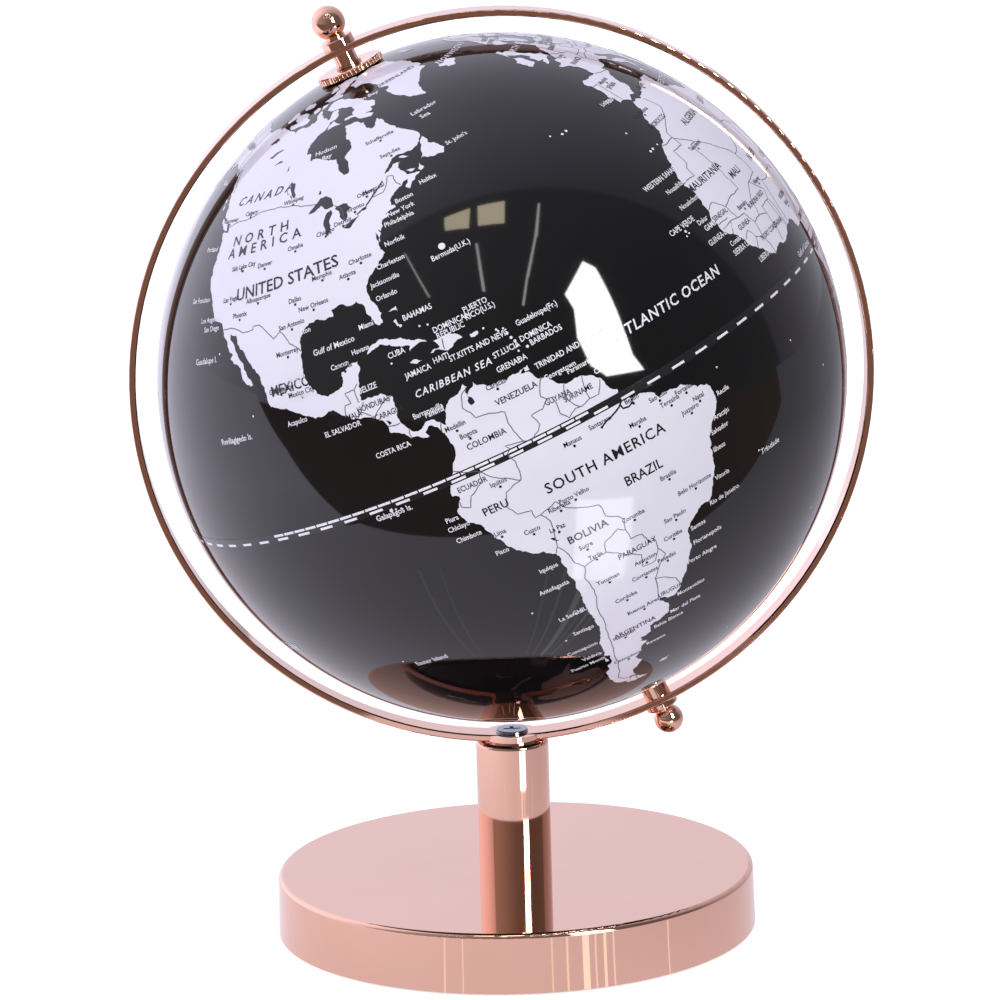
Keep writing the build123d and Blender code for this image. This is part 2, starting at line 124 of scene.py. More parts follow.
COASTS = {
    "north_america": """
        -168 65.6 -166.5 66.3 -163.8 66.6 -161.8 66.2 -161 66.6 -163.5 67.1 -166.6 68.4 -166.2 68.9
        -163 69.8 -161.5 70.4 -159 70.8 -156.6 71.3 -154.5 70.9 -152 70.9 -149.5 70.5 -146 70.2 -143.5 70.1
        -141 69.6 -138.5 69.2 -136 68.9 -134 69.5 -131 70 -129 70.1 -128 70.5 -125.5 69.4 -124.3 70.1
        -122.5 69.8 -119 69.2 -115.8 68.9 -114 68.3 -110.5 67.9 -108.5 67.4 -107.5 66.6 -107 67.8 -104.5 68
        -101.5 67.7 -98.5 67.8 -98 68.4 -96.5 68.2 -95.8 68.5 -95.5 69.5 -96.3 70.5 -95.8 71.3 -94.5 72
        -93 71.2 -91.7 69.7 -90.5 68.5 -88 67.9 -87.5 67.2 -86.5 67.4 -85.8 68.7 -84.8 69.8 -82 69.8
        -81.3 69.1 -82 68.3 -81.3 67.5 -83 66.3 -86 66.1 -85.8 65.5 -87 64.7 -88 64 -90 63.6 -92.5 62.2
        -94 61.3 -94.8 60 -94.7 58.8 -93.2 58.7 -92.5 57 -90.5 57.2 -88 56.5 -85.5 55.6 -82.5 55.2
        -82.2 53 -81.5 52.1 -80.5 51.3 -79 51.4 -78.8 52.5 -79.1 54.1 -79.6 54.8 -76.8 56.2 -76.6 57.4
        -78.3 58.8 -77.8 60 -77.6 61.5 -78.1 62.4 -75.5 62.3 -73.5 62.4 -71.5 61.2 -70 61 -69.6 59
        -68 58.4 -66.5 58.8 -65.5 59.8 -64.6 60.3 -63 58.4 -61.8 57.2 -60.6 55.9 -58.9 54.9 -57.3 54
        -55.8 52.6 -57 51.4 -59.5 50.2 -62.5 50.2 -66.3 50.2 -67.8 49.3 -69.5 48.2 -70.8 47 -69 48.2
        -66.5 49.1 -64.6 48.9 -65.8 48 -65 47.1 -64.6 46.2 -63 45.8 -61.3 45.5 -63.3 44.6 -65.3 43.5
        -66.1 44.2 -64.8 45.3 -66 45.2 -67.5 44.6 -69 44.1 -70.2 43.5 -70.7 42.7 -70.9 42.2 -70.1 42
        -70 41.6 -71.2 41.5 -72.9 41.2 -72 41 -73.9 40.5 -74.2 39.5 -74.9 38.9 -75.4 39.4 -75.1 38.5
        -75.9 37.2 -76.3 39.2 -76.4 38 -76.3 37 -75.6 35.3 -76.5 34.7 -77.9 33.9 -79.1 33.2 -80.6 32.3
        -81.3 31.4 -81.4 30.4 -80.6 28.5 -80 26.8 -80.3 25.4 -81.1 25.2 -81.8 26.2 -82.7 27.6 -82.8 29
        -84 30 -85.3 29.7 -86.8 30.4 -88.2 30.3 -89.5 30.2 -89.3 29.1 -90.8 29.1 -92.5 29.6 -94.5 29.5
        -96.5 28.3 -97.3 27.3 -97.2 25.8 -97.8 22.8 -97.4 21.3 -96.1 19.1 -95 18.6 -94.2 18.2 -92.5 18.6
        -91 18.9 -90.6 19.8 -90.4 20.9 -88.5 21.5 -87 21.5 -86.9 20.7 -87.7 19.4 -87.9 18.4 -88.2 17.5
        -88.6 16 -87.8 15.9 -86.5 15.8 -85 15.9 -83.2 15 -83.4 13.5 -83.7 11.9 -83.6 11 -82.9 9.9
        -82.3 9.1 -81.2 8.8 -79.6 9.6 -78.2 9.4 -77.4 8.7 -77.9 7.3 -78.3 8.3 -79.5 8.9 -80.4 8.2
        -80 7.5 -81.1 7.6 -81.7 8.1 -83 8.3 -83.6 9.2 -84.6 9.7 -85.8 10.1 -85.7 11 -87.5 12.9 -88 13.2
        -89.8 13.5 -91.5 14 -92.3 14.6 -94 16.1 -95.2 16.1 -96.6 15.7 -99 16.5 -101.8 17.8 -103.8 18.6
        -106.3 19.4 -106.7 21.2 -106.9 22.4 -107.5 23.5 -108.5 25.3 -109.4 26.2 -110.6 27.7 -112 28.9
        -113.1 31.2 -114.8 31.7 -114.7 30.6 -112.8 28.1 -111.4 26.6 -110.8 24.9 -109.5 23.2 -110.2 23.1
        -112.1 24.6 -112.3 26.1 -114 27 -115 27.8 -114.2 28.4 -115.7 29.8 -116 30.8 -117.1 32.4
        -118.4 33.8 -120.5 34.5 -121.9 36.6 -122.5 37.8 -123.8 39.3 -124.3 40.4 -124.1 41.8 -124.5 42.8
        -124 44.8 -123.9 46.3 -124.7 48.3 -122.5 48.1 -122.5 47.3 -122.8 49 -124.8 50 -127.3 51
        -128 52.3 -130.3 54.4 -131.8 56 -133.5 57.5 -135.3 59.3 -136.6 58.3 -139.5 59.6 -143 60
        -145.5 60.5 -148 60.7 -148.2 60.1 -150.5 59.4 -151.8 59.2 -151.5 60.6 -150.2 61.2 -152.5 60.4
        -153.8 59.2 -156 57.8 -158.3 56.3 -161.5 55.2 -164.8 54.6 -162.5 55.6 -160.2 56.1 -157.6 57.7
        -157.4 58.8 -159 58.7 -161.9 58.7 -162 59.9 -164.5 60.5 -166 61.8 -164.8 63.1 -161.1 63.6
        -160.8 64.5 -162.8 64.5 -166.4 64.7""",
    "south_america": """
        -77.4 8.7 -76.8 8 -76.3 9 -75.5 10.6 -74.8 11.1 -74.2 11.3 -73 11.4 -72.2 11.9 -71.7 12.4
        -71.2 11.8 -71.9 11.2 -71.7 10.7 -71.3 11.1 -70.3 11.5 -70.1 12.1 -69.7 11.4 -68.3 10.8 -66.2 10.6
        -65 10.1 -64.3 10.5 -63.8 10.6 -61.9 10.7 -62.6 10.1 -61 9.5 -60.6 8.5 -59.2 8 -58.4 7
        -57.2 6 -55.5 5.9 -54 5.8 -52.3 4.9 -51.4 4 -50.7 2 -49.9 1.6 -50.2 0.3 -48.8 -0.1 -48.3 -0.8
        -47 -0.7 -46 -1.1 -44.6 -1.8 -44.2 -2.8 -42.5 -2.7 -41.2 -2.9 -39.8 -2.9 -38.5 -3.7 -37.2 -4.8
        -35.4 -5.2 -34.9 -6.6 -34.8 -8 -35.3 -9.2 -36.4 -10.5 -37.5 -11.8 -38.4 -13 -39 -14.8 -38.9 -16
        -39.2 -17.6 -39.7 -19.4 -40.4 -20.8 -41 -22 -42 -23 -44 -23 -45.4 -23.8 -47 -24.5 -48.2 -25.5
        -48.6 -26.8 -48.7 -28.3 -50 -29.8 -51 -31.2 -52.3 -32.6 -53.5 -34 -54.9 -34.9 -56.8 -34.8
        -58.2 -34 -58.4 -34.6 -57.2 -35.6 -56.8 -36.5 -57.6 -38.1 -59.5 -38.7 -62 -39 -62.2 -40.6
        -64.8 -40.8 -65 -42 -63.7 -42.5 -65 -43.3 -65.5 -44.8 -67.4 -46 -66.8 -47 -65.8 -47.8
        -67.5 -49.5 -68.9 -50.3 -69 -51.6 -68.4 -52.4 -70.5 -52.7 -71 -53.8 -72.5 -53.3 -74.5 -52.3
        -75 -51 -75.5 -48.5 -75.6 -46.8 -74.3 -46 -74.5 -44.8 -72.9 -43.5 -72.8 -41.8 -73.9 -41.2
        -73.6 -39.8 -73.4 -38.2 -73.5 -37.1 -72.5 -35.5 -71.7 -33.4 -71.6 -31.5 -71.5 -29.8 -70.8 -27.3
        -70.5 -25 -70.4 -23 -70.1 -21 -70.3 -18.4 -72 -17 -75 -15.5 -76.3 -13.9 -77.2 -12 -78.3 -10
        -79.3 -8 -80.9 -6.2 -81.3 -4.7 -80.4 -3.5 -79.9 -2.6 -80.9 -2.2 -80.4 -0.5 -80 0.6 -79 1.3
        -78.6 2.2 -77.4 3.6 -77.4 5.6 -77.9 7.3""",
    "africa": """
        -5.9 35.8 -3 35.3 -1 35.7 0.5 36.2 3 36.8 6.5 37 9.8 37.3 11 37 10.3 35.5 10.4 34 11.5 33.1
        13.5 32.8 15.3 32.2 17 31 19 30.3 20.1 31 20.3 32.3 22 32.8 23.5 32 25.5 31.6 29 30.9 31 31.5
        32.5 31.2 32.6 29.9 33.5 27.9 35.2 25 35.6 23.5 37 21.5 37.3 19.3 38.5 18 39.8 15.5 41.5 13.8
        43.2 12.2 43.2 11.4 44.8 10.4 47.5 11.1 51.2 11.9 50.9 10 48.9 6.5 48 4.5 46 2.5 43 -0.5
        41 -2 40 -3.5 39.2 -5 39.4 -7 39.5 -9 40.6 -11 40.7 -14.5 39.5 -16.6 37 -17.9 35 -19.8 35.4 -22
        35.5 -24 33 -25.2 32.9 -26.5 32 -28.8 30.5 -31 28 -33 25.7 -34 22 -34.1 20 -34.8 18.5 -34.2
        18 -32.5 17 -29.8 15.3 -27 14.5 -22.8 13.5 -20.8 11.8 -18 11.8 -16 13.5 -12.3 13.3 -9 12.3 -6
        11 -4 9.3 -1.9 8.8 -0.7 9.6 1 9.6 3.5 8.9 4.5 7 4.4 6 4.3 4.8 6 3.5 6.4 1.2 6 -2 4.8 -4.5 5.2
        -7.6 4.4 -9.5 5.6 -11.4 6.9 -13.2 8.5 -13.7 9.7 -15 11 -16.8 12.4 -17.4 14.7 -16.5 16 -16.3 18.5
        -16.2 19.5 -17 21 -16 23.7 -14.6 26 -13 27.8 -11.3 28.6 -9.7 29.8 -9.8 31.4 -8.3 33.3 -6.8 34.1""",
    "europe_and_asia": """
        -5.6 36 -6.4 36.7 -7.4 37.1 -8.9 37 -8.8 38.4 -9.5 38.8 -8.8 41 -9.2 43.1 -7.7 43.8 -3.8 43.5
        -1.7 43.4 -1.2 44.8 -1.2 46 -2.5 47.4 -4.6 48 -4.7 48.5 -2 48.7 -1.8 49.7 0.2 49.7 1.7 50.9
        3.5 51.5 4.8 53 7 53.6 8.7 53.9 8.5 55.5 8.2 57 10.6 57.7 10.3 56.3 9.8 55 11 54.2 14 54.1
        18.5 54.7 19.8 54.5 21.1 55.6 21.5 57.4 24.2 57.1 23.5 58.7 28 59.5 30 59.9 27.5 60.5 24 60
        21.5 61 21.3 62.9 25 65 24 65.8 21.5 64.4 18 62.5 17.2 60.7 18.9 60 17 58.6 16.4 56.7 14.3 55.5
        12.8 55.5 12 57.7 11.2 59 10.5 59.5 8 58.1 5.6 58.8 5 60.8 5.2 62 8.5 63.7 11 65 13 66.5
        15 68.3 18.5 69.8 21 70.3 25.7 71.1 31 70.3 33.5 69.4 40.5 67.7 41 66.6 38.5 66.1 33.5 66.7
        34.8 64.5 38 64 40 64.6 40 65.6 42.5 66.4 44.2 66 44 67.5 43.5 68.6 46.5 68.2 46.5 66.9 54 68.3
        60.5 69.6 64.5 69.3 67 68.9 68.5 68.3 66.9 70 67 71.5 69 72.8 72.8 72.6 72 70.5 72.5 68.8
        74.2 68.9 74 71 75.5 72.2 80.5 72.5 81 73.6 87 75 92 75.9 98 76.2 104.3 77.7 107 76.5
        112.5 74.5 113 73.8 118.5 73.1 123.5 73.2 127 72.5 129 71.2 131.5 71 134.5 71.5 140 72.5
        150 71.5 152.5 70.9 160 69.7 168 69.7 170.5 69.5 178 69.3 180 69 185 67.3 190.2 66.1 188 65
        186.5 64.5 182 65.5 180 64.8 178 64.6 179.4 62.9 174.5 61.8 170.5 60 166.2 59.9 163.3 59.8
        162.2 58 163 56.2 161.8 55 160 53.2 156.7 51 155.7 54.5 155.7 56.8 157 58 161.9 60.4 163.7 61.8
        160.3 61.8 155 59.4 151 59.2 148.5 59.4 142.5 59.3 137.5 57 135.2 54.8 137.5 53.8 141.2 53.2
        140.5 50 140.3 48.5 138 46.3 135.5 44.3 133 42.8 130.7 42.3 129.7 41.2 127.6 39.9 128.4 38.5
        129.5 37 129.3 35.3 126.5 34.4 126.6 36.5 125.2 38 124.7 39.7 121.4 38.8 121.8 40.8 119 39.2
        117.8 38.7 119 37.2 122.5 37.3 120.3 36.1 119.3 35 121 32.5 121.9 31.2 120.5 30.3 122 29.5
        121.5 28 119.5 25.7 116.5 23.2 114 22.3 111 21.4 110.2 20.4 109.6 21.6 108 21.6 106.5 20.2
        105.8 18.9 108.2 16.1 109.3 13.5 109 11.5 107 10.4 105 8.7 104.8 10.2 103 11 102.3 12.2
        100.9 12.8 100.4 13.5 99.9 11.8 99.3 9.5 100.4 8.2 101.8 6.7 103.3 4.5 104.2 1.5 103.4 1.5
        101.3 2.9 100.4 5.5 98.5 8 98.7 11 97.6 15.5 95.3 15.8 94.3 17.5 92.3 20.8 91.8 22.3 90.5 22.3
        88 21.7 86.8 20.8 85.2 19.5 82.3 16.8 80.3 15.5 80.2 13 79.9 10.5 78 8.6 77.5 8.1 76.3 9.8
        74.8 13 73.3 17 72.8 20 72.8 21.3 70.8 20.8 69 22.3 68.5 23.4 66.7 25 61.6 25.2 57.3 25.7
        56.7 27 54 26.6 51.5 27.9 50.2 30.1 48.5 30 48.3 28.8 50.2 26.5 51.3 24.6 54 24.1 56.3 26.2
        56.5 24.5 58.6 23.6 59.8 22.5 57.8 19.5 55.3 17.4 52.2 15.6 49 14.2 45 12.8 43.5 12.7 42.8 15
        42.5 17 40.8 19.5 39.1 21.8 37.3 24.5 35.3 28 34.9 29.5 34.3 27.8 32.6 29.9 32.5 31.2 34.3 31.4
        35.1 33.2 35.9 35.5 36.1 36.7 34 36.3 32 36.5 30.6 36.8 29.7 36.2 27.4 36.8 26.8 38.3 26.2 39.6
        27.5 40.4 29.2 40.9 31.5 41.3 35 42 38.3 41 41.5 41.5 39.5 43.5 37.5 44.8 38 46.7 39.2 47.2
        35 46.2 36.4 45.3 35.3 45 33.6 44.4 32.6 45.4 33.6 46.1 30.8 46.4 29.6 45 28.6 43.8 27.8 42.5
        28.9 41.2 27 40.7 26 40.8 23.8 40.7 23.9 40 22.8 40.4 22.7 39.4 23.7 38 22.9 36.6 21.7 36.8
        21.2 38.2 20 39.7 19.4 41.8 16 43.6 13.7 45.1 12.3 45.2 12.5 44.2 13.6 43.6 14.7 42.1 16.2 41.8
        18.5 40.1 17 40.5 16.6 38.7 15.7 38 16 39.5 14.5 40.7 12.3 41.8 10.2 43.9 8.8 44.4 6.2 43.1
        3.2 43.2 3.1 42 0.8 40.8 -0.3 39.4 0.1 38.7 -0.7 37.7 -2.2 36.7 -4.5 36.7""",
    "australia": """
        113.7 -22.5 114.2 -26.2 115.7 -31.7 115.1 -34.3 118 -35.1 123.5 -33.9 126 -32.3 131.2 -31.5
        134.3 -32.7 135.7 -34.9 137.8 -32.7 138 -35 140 -37.5 143.6 -38.8 146.3 -39 150 -37.5 151.3 -33.5
        153.2 -30 153.4 -27 150.8 -23.2 148.8 -20.3 146.2 -18.9 145.4 -15 143.6 -14.3 142.6 -10.8
        141.6 -13 140.8 -17.5 139.5 -17.5 137 -15.9 135.5 -15 136.8 -12.2 132.6 -11.4 130.5 -12.5
        129.5 -14.9 128 -14.8 126.8 -13.9 124 -16.2 122.2 -18.2 119 -20 116.7 -20.7""",
    "antarctica": """
        -180 -78.3 -165 -78 -158 -77 -150 -76.5 -135 -74.7 -125 -73.5 -110 -74 -100 -73 -90 -73 -80 -73
        -75 -71.5 -68 -69 -67 -67 -61 -64.3 -57 -63.3 -61 -66 -62 -69 -61.5 -74 -70 -77 -60 -77
        -45 -78 -35 -78 -27 -76 -15 -73 -5 -71 10 -70 25 -70 35 -69 45 -67.5 55 -66.2 65 -67.7
        70 -68.5 73 -69.8 80 -68 90 -66.7 100 -66 110 -66.3 120 -66.8 130 -66.2 140 -66.7 150 -68.5
        160 -70 168 -71.5 170 -72 165 -75 163 -78""",
    "greenland": """
        -73 78.2 -68.5 76 -61.5 76.2 -57.5 75 -54.5 72.5 -54.5 70.5 -51 69.6 -51 69 -53.6 68.4 -53.8 67.2
        -53 65.6 -51.5 64.2 -49 61.8 -46 60.8 -43.3 60 -42.5 62 -40.5 64.5 -37.5 65.8 -32 68 -25 69
        -27 70.3 -24 70.5 -22.3 71.5 -22 73.5 -19 75.5 -19.5 77.5 -17.5 79.5 -12 81.4 -22 82.5 -32 83.6
        -45 83 -50 82.5 -60 82 -65 81 -66 79.5""",
    "baffin": """
        -66.5 61.9 -65 62.7 -68.6 63.7 -65.2 63.8 -64.8 64.6 -65.2 65.6 -67.9 66.3 -63 65 -61.6 66.6
        -64 67.7 -67 69 -68.5 70.3 -72 71.3 -76 72.6 -80.5 73.7 -85.5 73.8 -89.8 71.3 -87 70.2 -85 70
        -80 69.8 -76.5 69 -73.5 68.2 -72.6 67.2 -74 66.3 -73.8 65 -77.8 65.2 -78.2 64.5 -74 64.4
        -71.5 63 -69 62.4""",
    "victoria": "-117.3 70.2 -112 70.4 -117.8 72.8 -114 73.3 -108 73 -105.3 72.6 -104.5 71 -101.5 69.7"
                " -102 69 -106 68.8 -113.5 68.6 -116.5 69.3",
    "banks": "-125.5 72 -124 74.2 -121 74.5 -115.5 73.4 -119.5 71.9 -121 71.3 -123.5 71.2",
    "melville": "-117 75.3 -116 76.5 -109 76.7 -106 75.8 -106 75 -113 74.5",
    "prince_wales": "-102.5 72.8 -100.5 73.9 -97.5 73.6 -96.8 72.5 -99.5 71.5",
    "somerset": "-95.5 73.9 -90.5 73.9 -92.5 72.7 -95 72.2",
    "devon": "-96.5 75.5 -92 76.6 -80 75.8 -80 74.7 -91.8 74.7",
    "ellesmere": "-90 76.5 -79 76.3 -78 77.5 -75 78.5 -70 80 -62 82.4 -70 83.1 -80 83 -91 81.8 -86.5 80.3"
                 " -85 79 -88 78.3 -88 77.3",
    "axel_heiberg": "-96 80 -91 81.3 -87 80 -86.8 79 -91 78.2 -95.5 78.8",
    "southampton": "-84 65.9 -80.2 63.9 -83.5 64.1 -87 63.6 -86.2 65",
    "newfoundland": "-55.6 51.6 -57 51 -58.2 49.2 -59.3 47.8 -55.8 46.9 -53.5 46.7 -52.7 47.5 -53.5 48.7"
                    " -55.5 49.9",
    "cape_breton": "-60.5 47 -59.8 46 -61 45.6 -61.4 46.1",
    "prince_edward": "-64.3 46.9 -62 46.5 -63 46.2",
    "anticosti": "-64.4 49.9 -61.8 49.2 -63.5 49.4",
    "vancouver_island": "-128.3 50.8 -125.2 50.2 -123.4 48.4 -125.5 48.8 -127.8 50.1",
    "haida_gwaii": "-133 54.1 -131.7 54 -131 52",
    "kodiak": "-154.5 57.2 -152.3 58.3 -153 57",
    "cuba": "-84.9 21.9 -83.2 23 -81 23.1 -79.3 22.4 -77.5 21.7 -75.7 21.1 -74.2 20.2 -77.6 19.9"
            " -77.2 20.6 -78.5 21 -80.5 22 -82.2 22.6 -83.4 22.2",
    "hispaniola": "-73.2 19.9 -71.7 19.9 -69.9 19.7 -68.4 18.6 -70.2 18.3 -71.5 17.7 -72.5 18.2"
                  " -74.4 18.4 -72.6 18.7 -72.8 19.3",
    "jamaica": "-78.3 18.4 -77.2 18.5 -76.2 18 -77.2 17.8",
    "puerto_rico": "-67.2 18.5 -65.7 18.4 -65.9 18 -67.2 18",
    "trinidad": "-61.8 10.7 -61 10.8 -61 10.1 -61.8 10.1",
    "andros": "-78.4 25 -77.9 25.1 -77.6 24 -78.1 24.1",
    "abaco": "-78.8 26.6 -77.1 26.9 -77 26.1 -77.6 26.5",
    "falkland_islands": "-61 -51.9 -60 -51.3 -57.8 -51.6 -58.9 -52.3 -60.6 -52.2",
    "tierra_del_fuego": "-68.6 -52.7 -68.2 -53.3 -66.2 -54.6 -65.2 -54.7 -68 -55 -70 -55.1 -73.5 -53.5"
                        " -70.8 -54 -70.2 -52.9",
    "chiloe": "-74 -42 -73.5 -43.3 -74.2 -43.2",
    "isabela": "-91.4 0 -90.9 -0.7 -91.1 -1 -91.5 -0.9",
    "iceland": "-24.3 65.6 -22.5 66.4 -20.3 66 -16.2 66.5 -13.7 65 -18.8 63.4 -22.7 63.8 -22 64.6",
    "great_britain": "-5.3 50.1 -3.5 50.3 1.3 51.1 1.7 52.7 0.2 53 -0.1 54 -1.6 55.2 -2 57.6 -4 57.7"
                     " -3.1 58.6 -5 58.6 -6.2 56.7 -4.8 55.6 -3.2 54.9 -3 53.4 -4.5 53.3 -5.2 51.8 -3 51.4"
                     " -4.3 51.1",
    "ireland": "-6.2 52.2 -6.1 53.5 -5.6 54.6 -7.3 55.3 -8.5 54.5 -10 54.2 -10.2 52.1 -9.5 51.5",
    "svalbard": "11 79 16 80 27 80 22 78.3 16.5 76.7",
    "novaya_zemlya": "51.8 71.5 55.5 75 67 76.9 59 74.5 57.5 70.8",
    "severnaya_zemlya": "95 79 100 81 105 79 100 78",
    "new_siberia": "138 75.8 144 76 150 75.2 143 73.4",
    "wrangel": "178.8 71.2 182 71.5 181 70.9",
    "corsica": "8.6 42.4 9.5 42.9 9.3 41.4",
    "sardinia": "8.2 41 9.6 41.1 9.5 39.2 8.5 39",
    "sicily": "12.5 38 15.5 38.2 15.1 36.7",
    "crete": "23.6 35.5 26.2 35.2 24.8 34.9",
    "cyprus": "32.4 35 34.5 35.6 33.5 34.6",
    "zealand": "11.2 55.7 12.5 56 12 55",
    "gotland": "18.2 57.3 19.2 57.9 18.4 56.9",
    "madagascar": "49.3 -12.1 50.4 -15.5 47 -25 44 -25 43.4 -22 44.4 -16.2 47.8 -14.5",
    "sri_lanka": "80 9.8 81.8 7.5 80.6 6 79.8 8",
    "honshu": "131 34.1 133 35.5 136.8 37.3 139.8 39 140.9 41.4 142 39.5 140.8 35.7 138.8 34.8 135.8 33.5"
              " 132.3 33.9",
    "hokkaido": "140 41.5 141.8 45.4 145.3 43.4 143.2 42",
    "kyushu": "130 33.6 131.8 33.2 130.9 31.2 129.8 32.8",
    "shikoku": "132.1 33.4 134.6 34.2 133 32.8",
    "sakhalin": "142.5 54.3 143.3 52 144.5 49 142.8 46.6 142 46 142 50",
    "taiwan": "121.5 25.2 120.2 23 120.8 22",
    "hainan": "109 20 111 19.8 109.5 18.3 108.7 19",
    "luzon": "120.6 18.5 122.2 18.4 121.7 15.8 124 13 122.5 13.6 120.6 13.9 119.9 16.3",
    "mindanao": "122 7 123.5 8.6 125.5 9.8 126.5 7.5 125.5 5.8 124 6.8",
    "visayas": "122 11.8 125 12.5 125.2 10.5 123 9.2",
    "palawan": "117.2 8.4 119.5 11.3 118.6 9.2",
    "borneo": "109 1.8 111.4 2.6 113.2 3.6 115.5 5.5 116.8 7 119.2 5.2 117.8 3.5 117.9 1 116.5 -1.5"
              " 116.2 -4 114.5 -4.1 111.7 -3.4 110.2 -2.5 109 0.3",
    "sumatra": "95.3 5.6 97.6 5.2 100.4 2.8 103.5 0 106 -3 105.8 -5.8 104.5 -5.8 102.2 -3.8 100.3 -0.9"
               " 98.7 1.7 96 4.2",
    "java": "105.2 -6.8 106.8 -6 108.6 -6.7 110.9 -6.4 112.7 -7 114.5 -7.8 114.4 -8.7 110.5 -8.1"
            " 106.5 -7.4",
    "sulawesi": "119.8 0.5 120.9 1.3 125 1.6 123.5 0.3 120.3 0.4 121 -1 123.3 -0.9 121.6 -1.9 122.8 -4.2"
                " 121.5 -4.8 120.9 -3 120.4 -5.5 119.5 -5.4 119 -3",
    "new_guinea": "131 -0.8 134 -0.8 135.2 -3.3 137.8 -1.6 141 -2.6 144.6 -3.9 147.8 -6 147.2 -7"
                  " 150.8 -10.4 147.5 -10.1 144.2 -7.7 142 -9.1 138 -8.3 138.2 -6 135 -4.4 132.8 -4"
                  " 133.5 -3 132 -2.8 133.8 -2.4 131.2 -1.6",
    "flores": "118.8 -8.4 123 -8.3 120 -9",
    "timor": "123.6 -10.2 125 -8.9 127.2 -8.4 125 -9.6",
    "halmahera": "127.5 1 128 2.1 128.6 0.5 127.9 -0.8",
    "seram": "128 -3.2 130.8 -3.4 129 -3.6",
    "new_britain": "148.5 -5.7 150.5 -5.4 152.2 -4.2 151.5 -5.8 149.5 -6.3",
    "new_caledonia": "164 -20.2 167 -22.3 165.5 -21.7",
    "tasmania": "144.7 -40.8 148.2 -40.9 147.9 -43.1 146.1 -43.6",
    "north_island": "172.8 -34.4 174.9 -36.6 178.5 -37.7 177 -39.4 175.3 -41.6 173.8 -39.3 174.8 -38",
    "south_island": "172.7 -40.6 174.2 -41.6 172.8 -43.7 170.6 -45.9 168.4 -46.6 166.5 -45.9 170.5 -43",
}

LAKES = {
    "superior": "-92 46.7 -90.5 47.6 -89.5 48.1 -88.3 48.8 -86.5 48.8 -85 47.9 -84.6 46.5 -87.3 46.5"
                " -88.2 47.4 -90.5 46.7",
    "michigan": "-87.8 42.3 -87.9 43.5 -87.2 45.4 -85.5 46 -85.2 45.3 -86.3 44.3 -86.3 43 -87 41.7",
    "huron": "-84.5 45.9 -83 46.1 -81 45.9 -80 44.8 -81.5 44.5 -81.7 43.4 -82.5 43.1 -83.4 43.9"
             " -83.4 45.1",
    "erie": "-83.2 42 -81.2 42.7 -79 42.8 -80.2 42.2 -81.7 41.5",
    "ontario": "-79.7 43.4 -77.5 43.9 -76.3 44.1 -76.6 43.5 -79 43.2",
    "nipigon": "-88.9 49.6 -88.2 50.3 -88 49.5",
    "winnipeg": "-97 50.6 -98.8 52.5 -99 53.8 -97.6 53.7 -96.6 51.2",
    "winnipegosis": "-99.6 51.7 -101 53 -100.2 52.8 -99.4 51.9",
    "manitoba": "-98 50.3 -98.9 51.6 -98.2 51.3",
    "reindeer": "-102.7 56.5 -102 57.8 -101.8 56.8",
    "athabasca": "-111 58.8 -108 59.6 -106.4 59.2 -109.3 59",
    "great_slave": "-117 61.2 -114 62.4 -109.5 62.8 -112.5 61.9 -114.5 60.9",
    "great_bear": "-124.8 65.2 -121.5 66.9 -118 66.3 -119.5 65.4 -122.5 65.2",
    "maracaibo": "-71.9 10.8 -71.2 10.1 -71.1 9.3 -71.8 9.1 -72.1 9.9 -71.7 10.4",
    "titicaca": "-70 -15.4 -69.4 -15.5 -68.8 -16.4 -69.3 -16.3",
    "nicaragua": "-85.8 12 -84.9 11.3 -85.5 11.2",
    "salt_lake": "-112.9 41.6 -112.3 41.5 -112.2 40.8 -112.7 40.9",
    "victoria_lake": "31.8 -0.5 33.8 0.2 34 -1.2 33.2 -2.3 32 -2.4",
    "tanganyika": "29.3 -3.6 29.8 -6 31 -8.5 30 -6.8 29.1 -4.5",
    "malawi": "34 -9.8 34.8 -12 35 -14.2 34.3 -12",
    "chad": "13.5 13 14.6 13.6 14.8 12.9",
    "caspian": "47 45 49 46.5 52.5 46.8 53 45.2 51 44.5 50.5 43 52.8 42 53.8 40.5 53.9 37.3 51 36.8 49 38"
               " 49.5 40.3 48 42",
    "aral": "58.5 45.8 60.5 46.5 61 44.5 59 43.8",
    "baikal": "103.9 51.6 108 53 109.5 55.6 108.5 54.6 105 52",
    "balkhash": "73.8 45.5 76 46.8 79 46.6 75 45.8",
    "ladoga": "30.8 60.2 31 61.6 33 61 32.5 60.1",
    "onega": "34.7 61 35 62.5 36.2 61.3",
    "vanern": "12.5 58.6 13.5 59.3 14 58.8",
}

